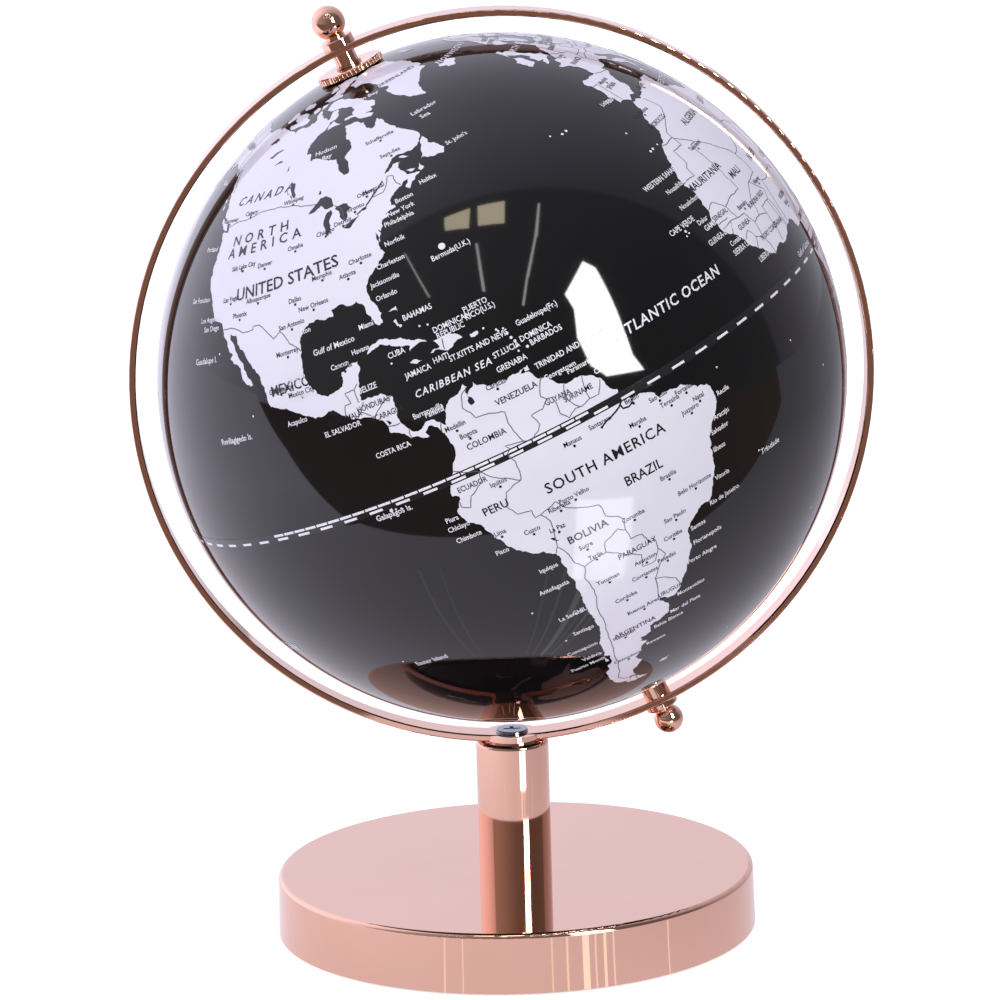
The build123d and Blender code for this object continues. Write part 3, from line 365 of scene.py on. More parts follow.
# One border a line; a line with a deeper indent carries on the border above it.
BORDERS = """
    -123 49 -95.2 49 -94.6 48.7 -92 48.3 -89.6 48
    -84.5 46.4 -83.6 46 -82.5 45.3 -82.4 43
    -83.1 42.2 -79 42.8 -79 43.3
    -76.5 44.1 -74.7 45 -71.5 45 -70.3 45.9 -69.2 47.4 -67.8 47.1 -67.8 45.7 -67 44.8
    -141 69.6 -141 60.3 -137.5 58.9 -135 59.6 -133.5 58.4 -130.2 56.1 -130 55.2
    -117.1 32.5 -114.8 32.5 -111.1 31.3 -108.2 31.3 -108.2 31.8 -106.5 31.8 -104.9 30.6 -103.2 29
        -101.4 29.8 -99.5 27.5 -97.3 25.9
    -92.2 14.5 -91.7 16.1 -90.5 16.1 -91 17.8 -89.2 17.8 -88.3 18.5
    -89.2 17.8 -89.2 15.9 -88.9 15.9
    -88.3 15.7 -89.3 14.4
    -90.1 13.8 -89.3 14.4 -88.5 13.9 -87.8 13.4
    -87.4 13 -86.1 13.9 -85 14.6 -83.2 15
    -85.7 11.1 -84 10.8 -83.7 10.9
    -82.9 8.1 -82.9 9.1 -82.6 9.5
    -77.4 8.7 -77.9 7.3
    -71.3 11.8 -72.7 10.9 -73.3 9.2 -72.4 8.2 -72 7.2 -70.1 7 -67.5 6.2 -67.8 4.5 -67.3 2.4 -66.9 1.2
    -66.9 1.2 -65.5 0.8 -64 1.6 -63.4 2.3 -64 4 -62 4.1 -60.7 5.2 -61.4 5.9 -60.7 7.3 -59.9 8.4
    -60.7 5.2 -59.9 5 -59.6 3.9 -59.8 2.4 -58.8 1.2 -57.3 2 -56.5 1.9 -54.5 2.3 -52.9 2.2 -51.7 4.1
    -56.5 1.9 -58 4 -57.2 5.9
    -54.5 2.3 -54.5 4.2 -54 5.8
    -66.9 1.2 -69.8 1.7 -69.2 1 -70 0.5 -69.4 -1.2 -69.9 -4.2
    -69.9 -4.2 -70.7 -3.8 -73 -2.4 -75.3 -0.1 -77.5 0.6 -78.9 1.4
    -75.3 -0.1 -75.5 -1.6 -78.2 -3.3 -79 -5 -80.3 -4.4 -80.3 -3.4
    -69.9 -4.2 -72.9 -5.1 -73.9 -7.3 -72.8 -9.2 -70.6 -9.6 -70.6 -11 -69.6 -10.9
    -69.6 -10.9 -68.7 -12.5 -69 -14.8 -69.3 -16.2 -69.6 -17.3
    -69.6 -10.9 -66.6 -9.9 -65.3 -11.8 -62.8 -13 -60.5 -13.8 -60.2 -16.2 -58.3 -17.3 -57.6 -18.2 -58.1 -20.1
    -70.3 -18.3 -69.6 -17.3 -68.5 -19.5 -68.2 -21.5 -67.2 -22.8 -64.6 -22.3 -62.7 -22.2
    -62.7 -22.2 -62.2 -20.5 -59.3 -19.3 -58.1 -20.1
    -58.1 -20.1 -57.9 -22.1 -55.8 -22.3 -55.4 -24 -54.3 -24.1 -54.6 -25.6
    -62.7 -22.2 -60 -24 -57.7 -25.3 -58.6 -27.2 -56 -27.3 -54.6 -25.6 -53.8 -27.1 -55.8 -28.4 -57.6 -30.2
    -57.6 -30.2 -55.6 -30.9 -53.8 -32 -53.4 -33.7
    -57.6 -30.2 -58.1 -32.5 -58.4 -34
    -67.2 -22.8 -68.4 -24.5 -68.3 -27 -69.8 -30 -70.2 -33.3 -71.1 -36.5 -71.3 -39 -71.8 -42 -71.6 -45
        -72.3 -48.5 -73.3 -50.5 -72 -52 -68.4 -52.4
    -68.6 -52.7 -68.6 -54.9
    -71.7 19.7 -72 18.1
    -2.2 35.1 -1.2 32.3 -3.5 31 -8.7 28.7 -8.7 27.4
    -13.2 27.7 -8.7 27.7 -8.7 26 -12 26 -12 23.4 -13.1 22.8 -13 21.3 -17 21.3
    -8.7 27.4 -4.8 25 -6.6 25 -5.5 15.5 -9.5 15.4 -12.2 14.8
    -4.8 25 1.2 21.1 3.2 19.1 6 19.5 12 23.5
    -12.2 14.8 -14.5 16.6 -16.4 16
    -16.7 12.4 -13.7 12.7 -11.4 12.4 -12.2 14.8
    -16.7 13.4 -13.8 13.4
    -15 11 -13.7 12.7
    -11.4 12.4 -9 12.2 -8 10.2
    -13.2 9 -11.2 10 -10.3 8.5 -11.4 6.9
    -10.3 8.5 -8.4 7.6 -7.5 5.9 -7.5 4.4
    -8.4 7.6 -8 10.2 -5.5 10.4 -2.8 9.7 -3.1 5.1
    -2.8 9.7 -2.9 11 0 11.1 0.5 8.5 1.2 6.1
    -5.5 10.4 -4.5 13 -1 15 2.2 12.4 0.9 11 0 11.1
    1.2 21.1 3.2 19.1 3.5 15.4 -1 15
    1.6 6.2 1.6 9.2 0.9 11
    2.7 6.4 2.8 9 3.6 11.7 4.1 13.5 7 13.1 13.6 13.7 14.5 12.8 11.5 7 8.5 4.8
    12 23.5 15 23 15.5 17 13.6 13.7
    12 23.5 9.9 26.5 9.5 30.3 8.3 32.5 8.6 36.9
    9.5 30.3 11.5 33.2
    25 31.6 25 22 37 22
    15 23 24 19.5 22 13 23 10.9 19 9 15.5 7.5
    24 19.5 24 20 25 20 25 22
    14.5 12.8 15.5 10 15.5 7.5 14.5 5 16.2 2.2 13.2 2.2 9.8 2.2
    13.2 2.2 14.4 -1.5 11.1 -3.9
    18.6 3.5 17.8 -0.5 16.2 -2.5 15.3 -4.3 12.5 -5
    18.6 3.5 22.5 4.1 27.4 5.1 30.9 3.5 31.2 2.2 29.7 0 29.6 -1.4 29.3 -4.5 30.8 -8.3 28.4 -9
        29.8 -12.2 26 -11.9 24 -11 22 -11.1 21.8 -7.3 16.8 -7.3 16.6 -5.9 12.5 -5.9
    23 10.9 27 9.6 27.4 5.1
    12 -17.2 14 -17.4 21 -18 23.5 -17.6 25.3 -17.8
    24 -11 24 -13 22 -13 22 -16.2 23.5 -17.6
    21 -18 21 -22 20 -22 20 -24.8 20 -28.4 16.5 -28.6
    20 -24.8 20.8 -26.8 25.5 -25.6 27 -23.6 29.4 -22.2 31.3 -22.4 32 -26.8 32.8 -26.8
    31.3 -22.4 32.8 -20 33 -17.3 30.4 -15.6 28.8 -15.9 27 -17.9 25.3 -17.8 27 -20 29.4 -22.2
    30.4 -15.6 30.2 -14.8 33.2 -14 34.3 -14.4 35.8 -16 35.3 -17.1
    30.8 -8.3 33 -9.5 34.5 -11.5 37.5 -11.7 40.5 -10.5
    30 -1 34 -1 37.7 -3.1 39.3 -4.7
    34 -1 34 0.3 35 2 34 4.2 30.9 3.5
    34 4.2 35.9 5 36.9 4.4 39 3.5 41.9 3.9 41 -0.8 41.6 -1.7
    41.9 3.9 45 5 48 8 44 9 42.9 10.9 42.4 12.5 37 14.3 36.4 14.3 34.3 10.6 33 8 35.9 5
    36.4 14.3 37 17 38.5 18
    24.5 8.5 30 9.5 34 9.5
    -8.8 41.9 -6.5 41.8 -7 40 -7.3 38.2 -7.4 37.2
    -1.8 43.3 0.7 42.7 3.1 42.4
    7.5 43.8 7 45.9 6.1 46.3 7.6 47.6 8.2 49 6.1 49.5 2.6 51.1
    7 45.9 10.5 46.7 13.7 46.5 13.7 45.7
    7.6 47.6 9.6 47.5 13 47.6 13.8 48.7 12.2 50.3 14.8 51 14.3 53.9
    6.1 49.5 6 51 7 52.5 7.1 53.4
    8.7 54.9 9.9 54.8
    9.6 47.5 10.5 46.7
    13.8 48.7 17 48.7 18.9 49.5 14.8 51
    17 48.7 17.1 48 16.2 46.9 13.7 46.5
    18.9 49.5 22.5 49.1 24 50.6 23.5 52.5 23.9 54 19.8 54.4
    17.1 48 20 48.3 22.5 48.3 20.5 46.1 16.2 46.9
    22.5 48.3 26.6 48.2 28.2 45.5 29.6 45.3
    22.7 44.2 28 43.9
    22.4 42.3 23 41.3 26.3 41.7 28 42
    21 56 26.6 55.7 28 56 27.4 59.3
    23.9 54 26.6 55.7 31 53.2 31.8 52.1 34 52 40 49.6 38.2 47.1
    23.5 51.6 31.8 52.1
    11.3 59 12 61.5 12.2 63.5 16 67 20.5 69 25.7 69.5 29 69.7 31 70
    20.5 69 24 66
    29 69.7 30 67 31.5 62.9 28 60.5
    40 43.4 45 42.7 48.5 41.8
    41.5 41.5 44.8 39.7 48 39.5
    36.2 35.9 42.4 37.1 44.8 37.2 44.8 39.7
    44.8 37.2 45.5 34 48 31 48.5 30
    34.9 29.5 37 31.5 39 32.2 42 31.1 44.7 29.2 46.6 29.1 48.3 28.6
    39 32.2 41 34.4 42.4 37.1
    43 17 47 17 52 19 55 20 56 22.5 52.6 22.9 51.6 24.1
    52 19 53 16.6
    53.9 37.3 57 38.2 61.1 36.6 60.9 31.5 61.6 25.2
    61.1 36.6 66.5 37.4 71 38.4 74.9 37.2 71 34 69.3 31.9 66.3 29.9 60.9 29.8
    74.9 37.2 77.8 35.5 74.4 31 70.6 27.9 68.2 23.7
    50 51.6 59 50.6 61.5 54 71 54.2 76.8 54.3 80 50.8 87.3 49.1
    53 45.2 56 41.3 58.5 42.7 66 41.9 69 43.4 74 43.2 80.2 42.2 82.5 45.2 85.5 47.1 87.3 49.1
    87.3 49.1 92 50.7 98 51.9 102 51.4 107 49.9 116.7 49.8
    87.3 49.1 90.9 45.2 96.4 42.7 105 41.6 111.9 43.7 119.8 46.7 116.7 49.8 120 52.8 125.6 53
        130.9 47.7 134.7 48.3 131 44.9 130.7 42.3
    124.7 40 128 41.9 130.7 42.3
    126.7 37.8 128.4 38.6
    77.8 35.5 79 32.5 81.2 30.1 88.1 27.9 91.7 27.8 97.3 28.2 98.7 25.9 97.6 24 101.1 21.6 105.3 23.3
        108 21.6
    80.1 28.8 88.1 26.4 88.1 27.9
    88.1 26.4 92.3 25 91.5 23 92.3 21
    92.3 21 94 24 97.3 28.2
    101.1 21.6 100.1 20.4 97.8 18.5 98.5 15.1 99.2 10.4
    101.1 21.6 102.1 22.4 104.6 20.6 107.6 15.3 107.5 12.3 104.5 10.4
    100.1 20.4 101.1 17.5 104.8 16.4 105.5 14.3 107.5 14.6
    102.4 13.6 105.5 14.3
    100.1 6.5 101.8 5.8
    109.6 2 110.6 0.9 114.8 1.6 115.8 4.3 117.8 4.2
    141 -2.6 141 -9.1
    129 -14.9 129 -31.7
    138 -16.6 138 -26 141 -26 141 -38
    138 -26 129 -26
    141 -29 148.9 -29 153.4 -28.3
    141 -34.1 144.5 -36 148.2 -36.8 150 -37.5
"""

RIVERS = """
    -50 -0.1 -50.6 -0.7 -51.6 -1.3 -52.4 -1.6 -54.6 -2.4
    -50.6 -0.7 -50.4 -1.5 -49.4 -1.7 -48.6 -1.3 -48.4 -0.8
    -70.8 47 -72.2 46.2 -73.6 45.5 -75 44.8 -76.4 44.1
"""

ISLAND_DOTS = {
    1.0: "-64.8 32.3",
    0.65: "-155.6 19.6",
    0.42: "-24 15.6 -77.5 23.9 -61.6 16.2 -61 14.7 -61.3 15.4 -59.6 13.2 -28.6 38.6 -27.2 38.7"
          " -15.6 28.3 -16.6 28.2 178 -17.8 55.6 -21.1 57.6 -20.3 -157.9 21.4 166.8 -15.5 160 -9.4 157 -8.3",
    0.3: "-90.4 -0.7 -89.5 -0.9 -91.1 -0.5 -62.9 17.4 -62.7 17.1 -61.8 17.1 -61.2 13.2 -61.7 12.1 -61 13.9"
         " -64.7 18.4 -81.3 19.3 -75 24.5 -74.4 22.7 -73 22.4 -23.6 15.1 -24.4 14.9 -22.9 16.1 -109.4 -27.1"
         " -80.1 -26.3 -78.8 -33.6 -110.9 18.8 -118.3 29 -29.3 -20.5 -32.4 -3.8 -14.4 -7.9 -5.7 -15.9"
         " -12.3 -37.1 -36.5 -54.3 -17 32.7 -13.7 28.4 -31.2 39.4 6.6 0.2 55.5 -4.6 73.2 3.2 72 -7.3"
         " -171.8 -13.7 -175.2 -21.1 -149.5 -17.6 -139.7 -9.4 -134.9 -23.1 147.2 -9.5 144.8 13.4 134.6 7.5",
}

# Place names. Each style gives capital height in mm, letter spacing, letter width, slant, ink and which
# end of the name its longitude stands for; its names follow as "longitude latitude name". Many places on
# the photographed side were measured from the photograph, to a tenth of a degree; the rest are geography.
LABEL_STYLES = {
    "continent": (3.1, 1.12, 1.0, 0.0, "dark", "CENTER"),
    "wide_continent": (3.1, 1.75, 1.0, 0.0, "dark", "CENTER"),
    "wide_country": (2.9, 1.5, 1.0, 0.3, "dark", "CENTER"),
    "widest_country": (3.6, 1.0, 1.0, 0.0, "dark", "CENTER"),
    "large_country": (2.9, 1.0, 0.9, 0.0, "dark", "CENTER"),
    "country": (2.35, 1.0, 1.0, 0.0, "dark", "CENTER"),
    "narrow_country": (1.75, 1.0, 0.92, 0.0, "dark", "CENTER"),
    "small_country": (1.6, 1.0, 0.82, 0.0, "dark", "CENTER"),
    "ocean": (3.0, 1.12, 1.0, 0.2, "pale", "CENTER"),
    "sea": (2.0, 1.22, 0.95, 0.3, "pale", "CENTER"),
    "island_state": (1.65, 1.0, 0.82, 0.0, "pale", "LEFT"),
    "bay": (1.7, 1.0, 0.92, 0.0, "pale", "CENTER"),
    "city": (1.45, 1.0, 0.88, 0.0, "dark", "CENTER"),
    "east_port": (1.5, 1.0, 0.88, 0.0, "pale", "LEFT"),
    "west_port": (1.5, 1.0, 0.88, 0.0, "pale", "RIGHT"),
}

LABELS = {
    "continent": """
        -56.3 -7.5 SOUTH AMERICA|22 6 AFRICA|20 52.5 EUROPE|92 58 ASIA
        134 -27.5 AUSTRALIA|60 -76 ANTARCTICA""",
    "wide_continent": "-108 46.2 NORTH|-106.5 44.2 AMERICA",
    "wide_country": "-110.5 53.2 CANADA|100 64 RUSSIA",
    "widest_country": "-99.5 37.2 UNITED STATES|104 36 CHINA",
    "large_country": "-51.6 -12.6 BRAZIL|-101.2 21.4 MEXICO|79 22 INDIA",
    "country": """
        -64 -17.3 BOLIVIA|-75.5 -6.7 PERU|2.5 28 ALGERIA|17.5 27.5 LIBYA|29.5 26.5 EGYPT|29.5 15 SUDAN
        -2.5 17.5 MALI|9.5 17 NIGER|18.5 15 CHAD|23 -3 CONGO|17.5 -12.5 ANGOLA|39 8 ETHIOPIA
        68 48 KAZAKHSTAN
        104 47 MONGOLIA|53.5 32.5 IRAN|45 23.5 SAUDI ARABIA|35 39 TURKEY|-11 20 MAURITANIA
        24 -30.5 SOUTH AFRICA
        47 -19 MADAGASCAR|65.5 33.5 AFGHANISTAN|-153 65 ALASKA""",
    "narrow_country": """
        -72 3.7 COLOMBIA|-64.6 7.8 VENEZUELA|-65.3 -37.6 ARGENTINA|-57.8 -24 PARAGUAY
        -42 71.5 GREENLAND""",
    "small_country": """
        -55.3 -33.6 URUGUAY|-77.2 -1.7 ECUADOR|-59 4.6 GUYANA|-55.8 3.8 SURINAME|-92.5 14.3 GUATEMALA
        -86.8 14.8 HONDURAS|-85.3 12.8 NICARAGUA|-7 31 MOROCCO|8 9.5 NIGERIA|-3 12.4 BURKINA FASO
        -5.6 7.6 IVORY COAST
        -1.2 7.5 GHANA|12.5 4.8 CAMEROON|11.8 -0.8 GABON|38 0.3 KENYA|34.5 -6 TANZANIA|27 -14.5 ZAMBIA
        18 -21.5 NAMIBIA|24 -22.5 BOTSWANA|29.8 -19 ZIMBABWE|38 -14 MOZAMBIQUE|46.5 7 SOMALIA|-4 40 SPAIN
        2.5 47 FRANCE
        10.3 51.5 GERMANY|19.5 52.2 POLAND|31.5 49 UKRAINE|15 62.5 SWEDEN|9 61 NORWAY|26.5 63 FINLAND
        25 46 ROMANIA
        13 42.8 ITALY|44 33 IRAQ|68.5 28.5 PAKISTAN|64 42 UZBEKISTAN|59 39.2 TURKMENISTAN|96 21.5 MYANMAR
        101.5 15.5 THAILAND|127.5 37 KOREA|138 36.2 JAPAN|114 0 BORNEO|144 -6.5 PAPUA|84 28.4 NEPAL
        48 15.7 YEMEN
        56.5 21 OMAN|-14.8 14.4 SENEGAL|-11 11 GUINEA|28 53.4 BELARUS""",
    "ocean": """
        -34.5 8.3 ATLANTIC OCEAN|-176 20 NORTH PACIFIC OCEAN
        -150 -22 SOUTH PACIFIC OCEAN|78 -18 INDIAN OCEAN|-140 -64 SOUTHERN OCEAN""",
    "sea": """
        -72.8 13.7 CARIBBEAN SEA|18 34.3 MEDITERRANEAN|64 16 ARABIAN SEA|88 13 BAY OF BENGAL
        114 13.5 CHINA SEA
        160 -39 TASMAN SEA|150 55 OKHOTSK|175 57 BERING SEA|3 56.5 NORTH SEA|0 67 NORWEGIAN SEA""",
    "island_state": """
        -76.7 24.7 BAHAMAS|-81.5 20.4 CUBA|-79.9 16.7 JAMAICA|-74.6 17.1 HAITI|-72.6 21.2 DOMINICAN
        -72.4 20.2 REPUBLIC
        -66.5 22 PUERTO|-66.7 20.9 RICO(U.S.)|-72 16.4 ST.KITTS AND NEVIS|-60.2 14.5 DOMINICA
        -65.3 14.1 ST.LUCIA
        -59 13.4 BARBADOS|-65.8 12 GRENADA|-60 10 TRINIDAD AND TOBAGO|-59.6 16.8 Guadeloupe(Fr.)
        -88.5 17.3 BELIZE
        -67.7 31.1 Bermuda(U.K.)|-27.2 16.5 CAPE VERDE|-12 38.4 Azores|50 -14 COMOROS|82.4 6.4 SRI LANKA
        179 -19 FIJI
        -157 22.2 HAWAII|168 -43 NEW ZEALAND|148.9 -42 TASMANIA|55 -22.6 MAURITIUS|-25.2 24 WESTERN SAHARA
        -20.1 14.1 GAMBIA|-21.4 12 GUINEA-BISSAU|-17.7 8.6 SIERRA LEONE|-12.9 5.4 LIBERIA""",
    "bay": """
        -86.4 58 Hudson|-86 56.5 Bay|-90.6 24.9 Gulf of Mexico|-49 57 Labrador|-50.5 55.4 Sea
        -66 69.5 Baffin Bay
        -91 -1.2 Galapagos Is.|-116.5 16 Revillagigedo Is.|-123 28.3 Guadalupe I.
        -103.8 -28.2 Easter Island
        -26.4 -21.1 Trindade|3 1.5 Gulf of Guinea|-148 57 Gulf of Alaska|131 -34.6 Great Bight
        50 70.5 Barents Sea|36 43.4 Black Sea|38 20 Red Sea""",
    "city": """
        -112 40.9 Salt Lake City|-104.9 40.2 Denver|-96 41.3 Omaha|-115.1 36.2 Las Vegas
        -106.6 35.1 Albuquerque
        -97 33 Dallas|-98.5 29.5 San Antonio|-90 35.1 Memphis|-84.4 33.7 Atlanta|-81 35.3 Charlotte
        -87.7 41.8 Chicago
        -83 42.3 Detroit|-112 33.4 Phoenix|-79.5 43.8 Toronto|-75.7 45.5 Ottawa|-73.6 45.6 Montreal
        -66 50.8 Sept-Iles|-67 54.8 Schefferville|-97.2 49.6 Winnipeg|-113.5 49.9 Calgary
        -122.9 49.4 Vancouver|-93 31.2 New Orleans|-99.2 19.4 Mexico City|-100.4 25.7 Monterrey
        -103.4 20.7 Guadalajara|-89.7 20.8 Merida|-74.2 4.8 Bogota|-75.6 6.6 Medellin|-66.9 9.6 Caracas
        -60 -3.1 Manaus|-54.8 -2.5 Santarem|-48.5 -1.6 Belem|-44.3 -3.4 Sao Luis|-39.5 -4.6 Fortaleza
        -42.8 -5.1 Teresina
        -49.2 -5.4 Maraba|-40 -8 Juazeiro|-37.8 -7 Natal|-73.3 -3.8 Iquitos|-76.8 -11.6 Lima
        -72 -13.5 Cuzco
        -68.2 -15 La Paz|-65.3 -20.2 Sucre|-63.5 -11.2 Porto Velho|-56 -19.3 Corumba
        -47.9 -15.9 Brasilia|-43.9 -19.9 Belo Horizonte|-49.3 -23 Sao Paulo|-51.2 -25.6 Curitiba
        -57.6 -26.9 Asuncion|-64.7 -22.6 Tarija|-65.2 -27 Tucuman|-59 -29.2 Corrientes|-54 -28.4 Posadas
        -64.2 -31.4 Cordoba|-62 -34.6 Buenos Aires|-68 -38.9 Neuquen|-69 -45.6 Comodoro
        -66.4 -11.8 Riberalta
        -8 33 Casablanca|-5.7 23.8 Taoudenni|3 36 Algiers|31.2 30 Cairo|32.5 15.6 Khartoum
        36.8 -1.3 Nairobi|28 -26.2 Pretoria
        2.3 48.8 Paris|-3.7 40.8 Madrid|13.4 52.9 Berlin|37.6 55.7 Moscow|32.8 40.6 Ankara
        51.4 35.7 Tehran|77.2 28.6 Delhi
        116.4 40 Beijing|139 35.6 Tokyo|106.9 48.5 Ulan Bator|71.4 51.2 Astana|82.9 55 Novosibirsk
        104.3 52.8 Irkutsk
        129.7 62 Yakutsk|18 59.5 Stockholm|44.4 34.2 Baghdad|46.7 25.2 Riyadh|133.9 -23.7 Alice Springs
        146 -35.3 Canberra|-147.7 64.3 Fairbanks|15.3 -4.3 Kinshasa|7.5 7.5 Abuja|-8 12.6 Bamako
        2.1 13.5 Niamey""",
    "east_port": """
        -51.9 47.9 St. John's|-62.9 43.6 Halifax|-69.8 42.4 Boston|-72.5 40.8 New York
        -73.9 39.4 Philadelphia|-75.2 36.4 Norfolk
        -78.2 33.5 Charleston|-80.4 31.2 Jacksonville|-80.2 29 Orlando|-34.4 -7.6 Recife
        -36.6 -10.8 Aracaju
        -38 -12.8 Salvador|-38.6 -15.6 Ilheus|-39.8 -20.3 Vitoria|-42.4 -23.6 Rio de Janeiro
        -47.6 -25.6 Santos
        -48.2 -28 Florianopolis|-50.6 -30.6 Porto Alegre|-54.6 -35.2 Montevideo|-57 -38.3 Mar del Plata
        -61.4 -40 Bahia Blanca
        -64 -43.6 Rawson|-79.4 10.4 Panama|32.5 -26.2 Maputo|39.8 -6.6 Dar es Salaam|56.6 25.2 Muscat
        122.3 31.2 Shanghai
        151.6 -34 Sydney|153.8 -27.5 Brisbane|-59.6 7.9 Georgetown|-55.9 7.2 Paramaribo|-52 5.3 Cayenne
        -87.6 22.9 Havana|-21.7 21.7 Nouadhibou|-21.7 18.7 Nouakchott|-17.2 10 Conakry""",
    "west_port": """
        -81.6 -5.6 Piura|-80.4 -7.2 Chiclayo|-79.4 -9.4 Chimbote|-76.8 -14 Pisco|-70.9 -20.2 Iquique
        -71 -23.8 Antofagasta
        -70.9 -29.3 CHILE|-72.2 -29.4 La Serena|-72.4 -33 Santiago|-73.8 -36.8 Concepcion
        -74.2 -39.8 Valdivia
        -74 -41.6 Puerto Montt|-76 10.9 Barranquilla|-118.6 33 San Diego|-119 34.4 Los Angeles
        -123 37.6 San Francisco
        -124.8 45.6 Portland|-82 26 Miami|-97.2 19.6 Veracruz|-99.4 16.2 Acapulco|-97.6 22.4 Tampico
        -94.4 28.6 Houston
        -17.9 15.4 Dakar|-10 38.6 Lisbon|114.9 -32 Perth
        72.2 19 Mumbai|12.6 -9 Luanda|17.8 -34 Cape Town|-90 13 EL SALVADOR|-83.4 7.6 COSTA RICA
        103.2 1 Singapore|-88.6 21.9 Cancun""",
}

# ---------------------------------------------------------------- surfaces


def material(name, light, dark, roughness, metallic=0.0, scale=60.0, bump=0.0):
    """A surface whose colour and roughness wander a little between two values, by a seeded noise."""
    m = bpy.data.materials.new(name)
    m.use_nodes = True
    nodes, links = m.node_tree.nodes, m.node_tree.links
    shader = nodes["Principled BSDF"]
    place = nodes.new("ShaderNodeTexCoord")
    noise = nodes.new("ShaderNodeTexNoise")
    noise.inputs["Scale"].default_value = scale
    noise.inputs["Detail"].default_value = 3.0
    links.new(place.outputs["Object"], noise.inputs["Vector"])
    ramp = nodes.new("ShaderNodeValToRGB")
    ramp.color_ramp.elements[0].position = 0.3
    ramp.color_ramp.elements[0].color = (*dark, 1)
    ramp.color_ramp.elements[1].position = 0.7
    ramp.color_ramp.elements[1].color = (*light, 1)
    links.new(noise.outputs["Fac"], ramp.inputs["Fac"])
    links.new(ramp.outputs["Color"], shader.inputs["Base Color"])
    spread = nodes.new("ShaderNodeMapRange")
    spread.inputs["To Min"].default_value = roughness[0]
    spread.inputs["To Max"].default_value = roughness[1]
    links.new(noise.outputs["Fac"], spread.inputs["Value"])
    links.new(spread.outputs["Result"], shader.inputs["Roughness"])
    if bump:
        relief = nodes.new("ShaderNodeBump")
        relief.inputs["Strength"].default_value = bump
        relief.inputs["Distance"].default_value = 0.2 * MM
        links.new(noise.outputs["Fac"], relief.inputs["Height"])
        links.new(relief.outputs["Normal"], shader.inputs["Normal"])
    shader.inputs["Metallic"].default_value = metallic
    return m


SEA_INK = material("sea_ink", (0.0052, 0.0050, 0.0062), (0.0040, 0.0038, 0.0046), (0.03, 0.06), scale=25)
LAND_INK = material("land_ink", (0.73, 0.72, 0.82), (0.69, 0.68, 0.78), (0.06, 0.10), scale=40)
DARK_INK = material("dark_ink", (0.016, 0.015, 0.02), (0.010, 0.010, 0.013), (0.08, 0.12), scale=90)
BORDER_INK = material("border_ink", (0.10, 0.10, 0.12), (0.06, 0.06, 0.075), (0.08, 0.12), scale=90)
PALE_INK = material("pale_ink", (0.80, 0.78, 0.84), (0.74, 0.72, 0.80), (0.08, 0.12), scale=90)
ROSE_GOLD = material("rose_gold_polish", (0.76, 0.46, 0.35), (0.74, 0.44, 0.33),
                     (0.035, 0.06), 1.0, scale=35)
NICKEL = material("nickel_polish", (0.34, 0.36, 0.42), (0.26, 0.28, 0.34), (0.14, 0.24), 1.0, scale=300)
ZINC = material("zinc_plate", (0.62, 0.63, 0.66), (0.48, 0.50, 0.54),
                (0.28, 0.42), 1.0, scale=400, bump=0.1)
RAW_STEEL = material("raw_steel", (0.36, 0.35, 0.34), (0.24, 0.23, 0.22),
                     (0.4, 0.6), 1.0, scale=220, bump=0.2)
NYLON = material("nylon", (0.72, 0.70, 0.66), (0.64, 0.62, 0.58), (0.38, 0.5), scale=300)
SHELL = material("shell_plastic", (0.62, 0.62, 0.64), (0.54, 0.54, 0.56), (0.4, 0.5), scale=200)
COVER = material("moulded_cover", (0.035, 0.035, 0.038), (0.022, 0.022, 0.024),
                 (0.45, 0.6), scale=500, bump=0.15)
FOAM = material("foam_pad", (0.030, 0.030, 0.033), (0.012, 0.012, 0.014),
                (0.85, 0.95), scale=2500, bump=0.6)

# ---------------------------------------------------------------- the printed ball

INK_ROOM = 0.12 * MM
SEA_RADIUS = BALL_RADIUS - INK_ROOM
LAND_LIFT = 0.05 * MM
BORDER_LIFT = 0.075 * MM
LABEL_LIFT = 0.1 * MM
EARTH_FRAME = AXIS_FRAME @ Matrix.Rotation(math.radians(-90 - FRONT_MERIDIAN_DEG), 4, "Z")


def toward(longitude, latitude):
    """Unit vector from the earth's centre, before the axis is tilted."""
    lon = math.radians(longitude)
    lat = math.radians(latitude)
    return Vector((math.cos(lat) * math.cos(lon), math.cos(lat) * math.sin(lon), math.sin(lat)))


# The printed map runs a little long north of the equator, and takes it up again near the pole. South of
# the tropics it runs long and leans to the east.
NORTH_STRETCH = 1.085
STRETCH_ENDS_DEG = 60.0
SOUTH_STARTS_DEG = -22.0
SOUTH_FULL_DEG = -36.0
SOUTH_ENDS_DEG = -55.0
SOUTH_SHIFT_DEG = 3.0
LEAN_ENDS_DEG = -52.0
LEAN_DEG = 1.8


def eased(value, start, end):
    """0 at the start, 1 at the end and beyond."""
    return min(1.0, max(0.0, (value - start) / (end - start)))


def printed_latitude(latitude):
    """Where a parallel lands on this ball."""
    if latitude <= 0:
        grown = eased(latitude, SOUTH_STARTS_DEG, SOUTH_FULL_DEG)
        shift = grown * (1 - eased(latitude, SOUTH_ENDS_DEG, -90))
        return latitude - SOUTH_SHIFT_DEG * shift
    if latitude <= STRETCH_ENDS_DEG:
        return latitude * NORTH_STRETCH
    reached = STRETCH_ENDS_DEG * NORTH_STRETCH
    return reached + (latitude - STRETCH_ENDS_DEG) * (90 - reached) / (90 - STRETCH_ENDS_DEG)


def printed(longitude, latitude):
    lean = LEAN_DEG * math.sin(math.pi * eased(latitude, SOUTH_STARTS_DEG, LEAN_ENDS_DEG))
    return toward(longitude + lean, printed_latitude(latitude))


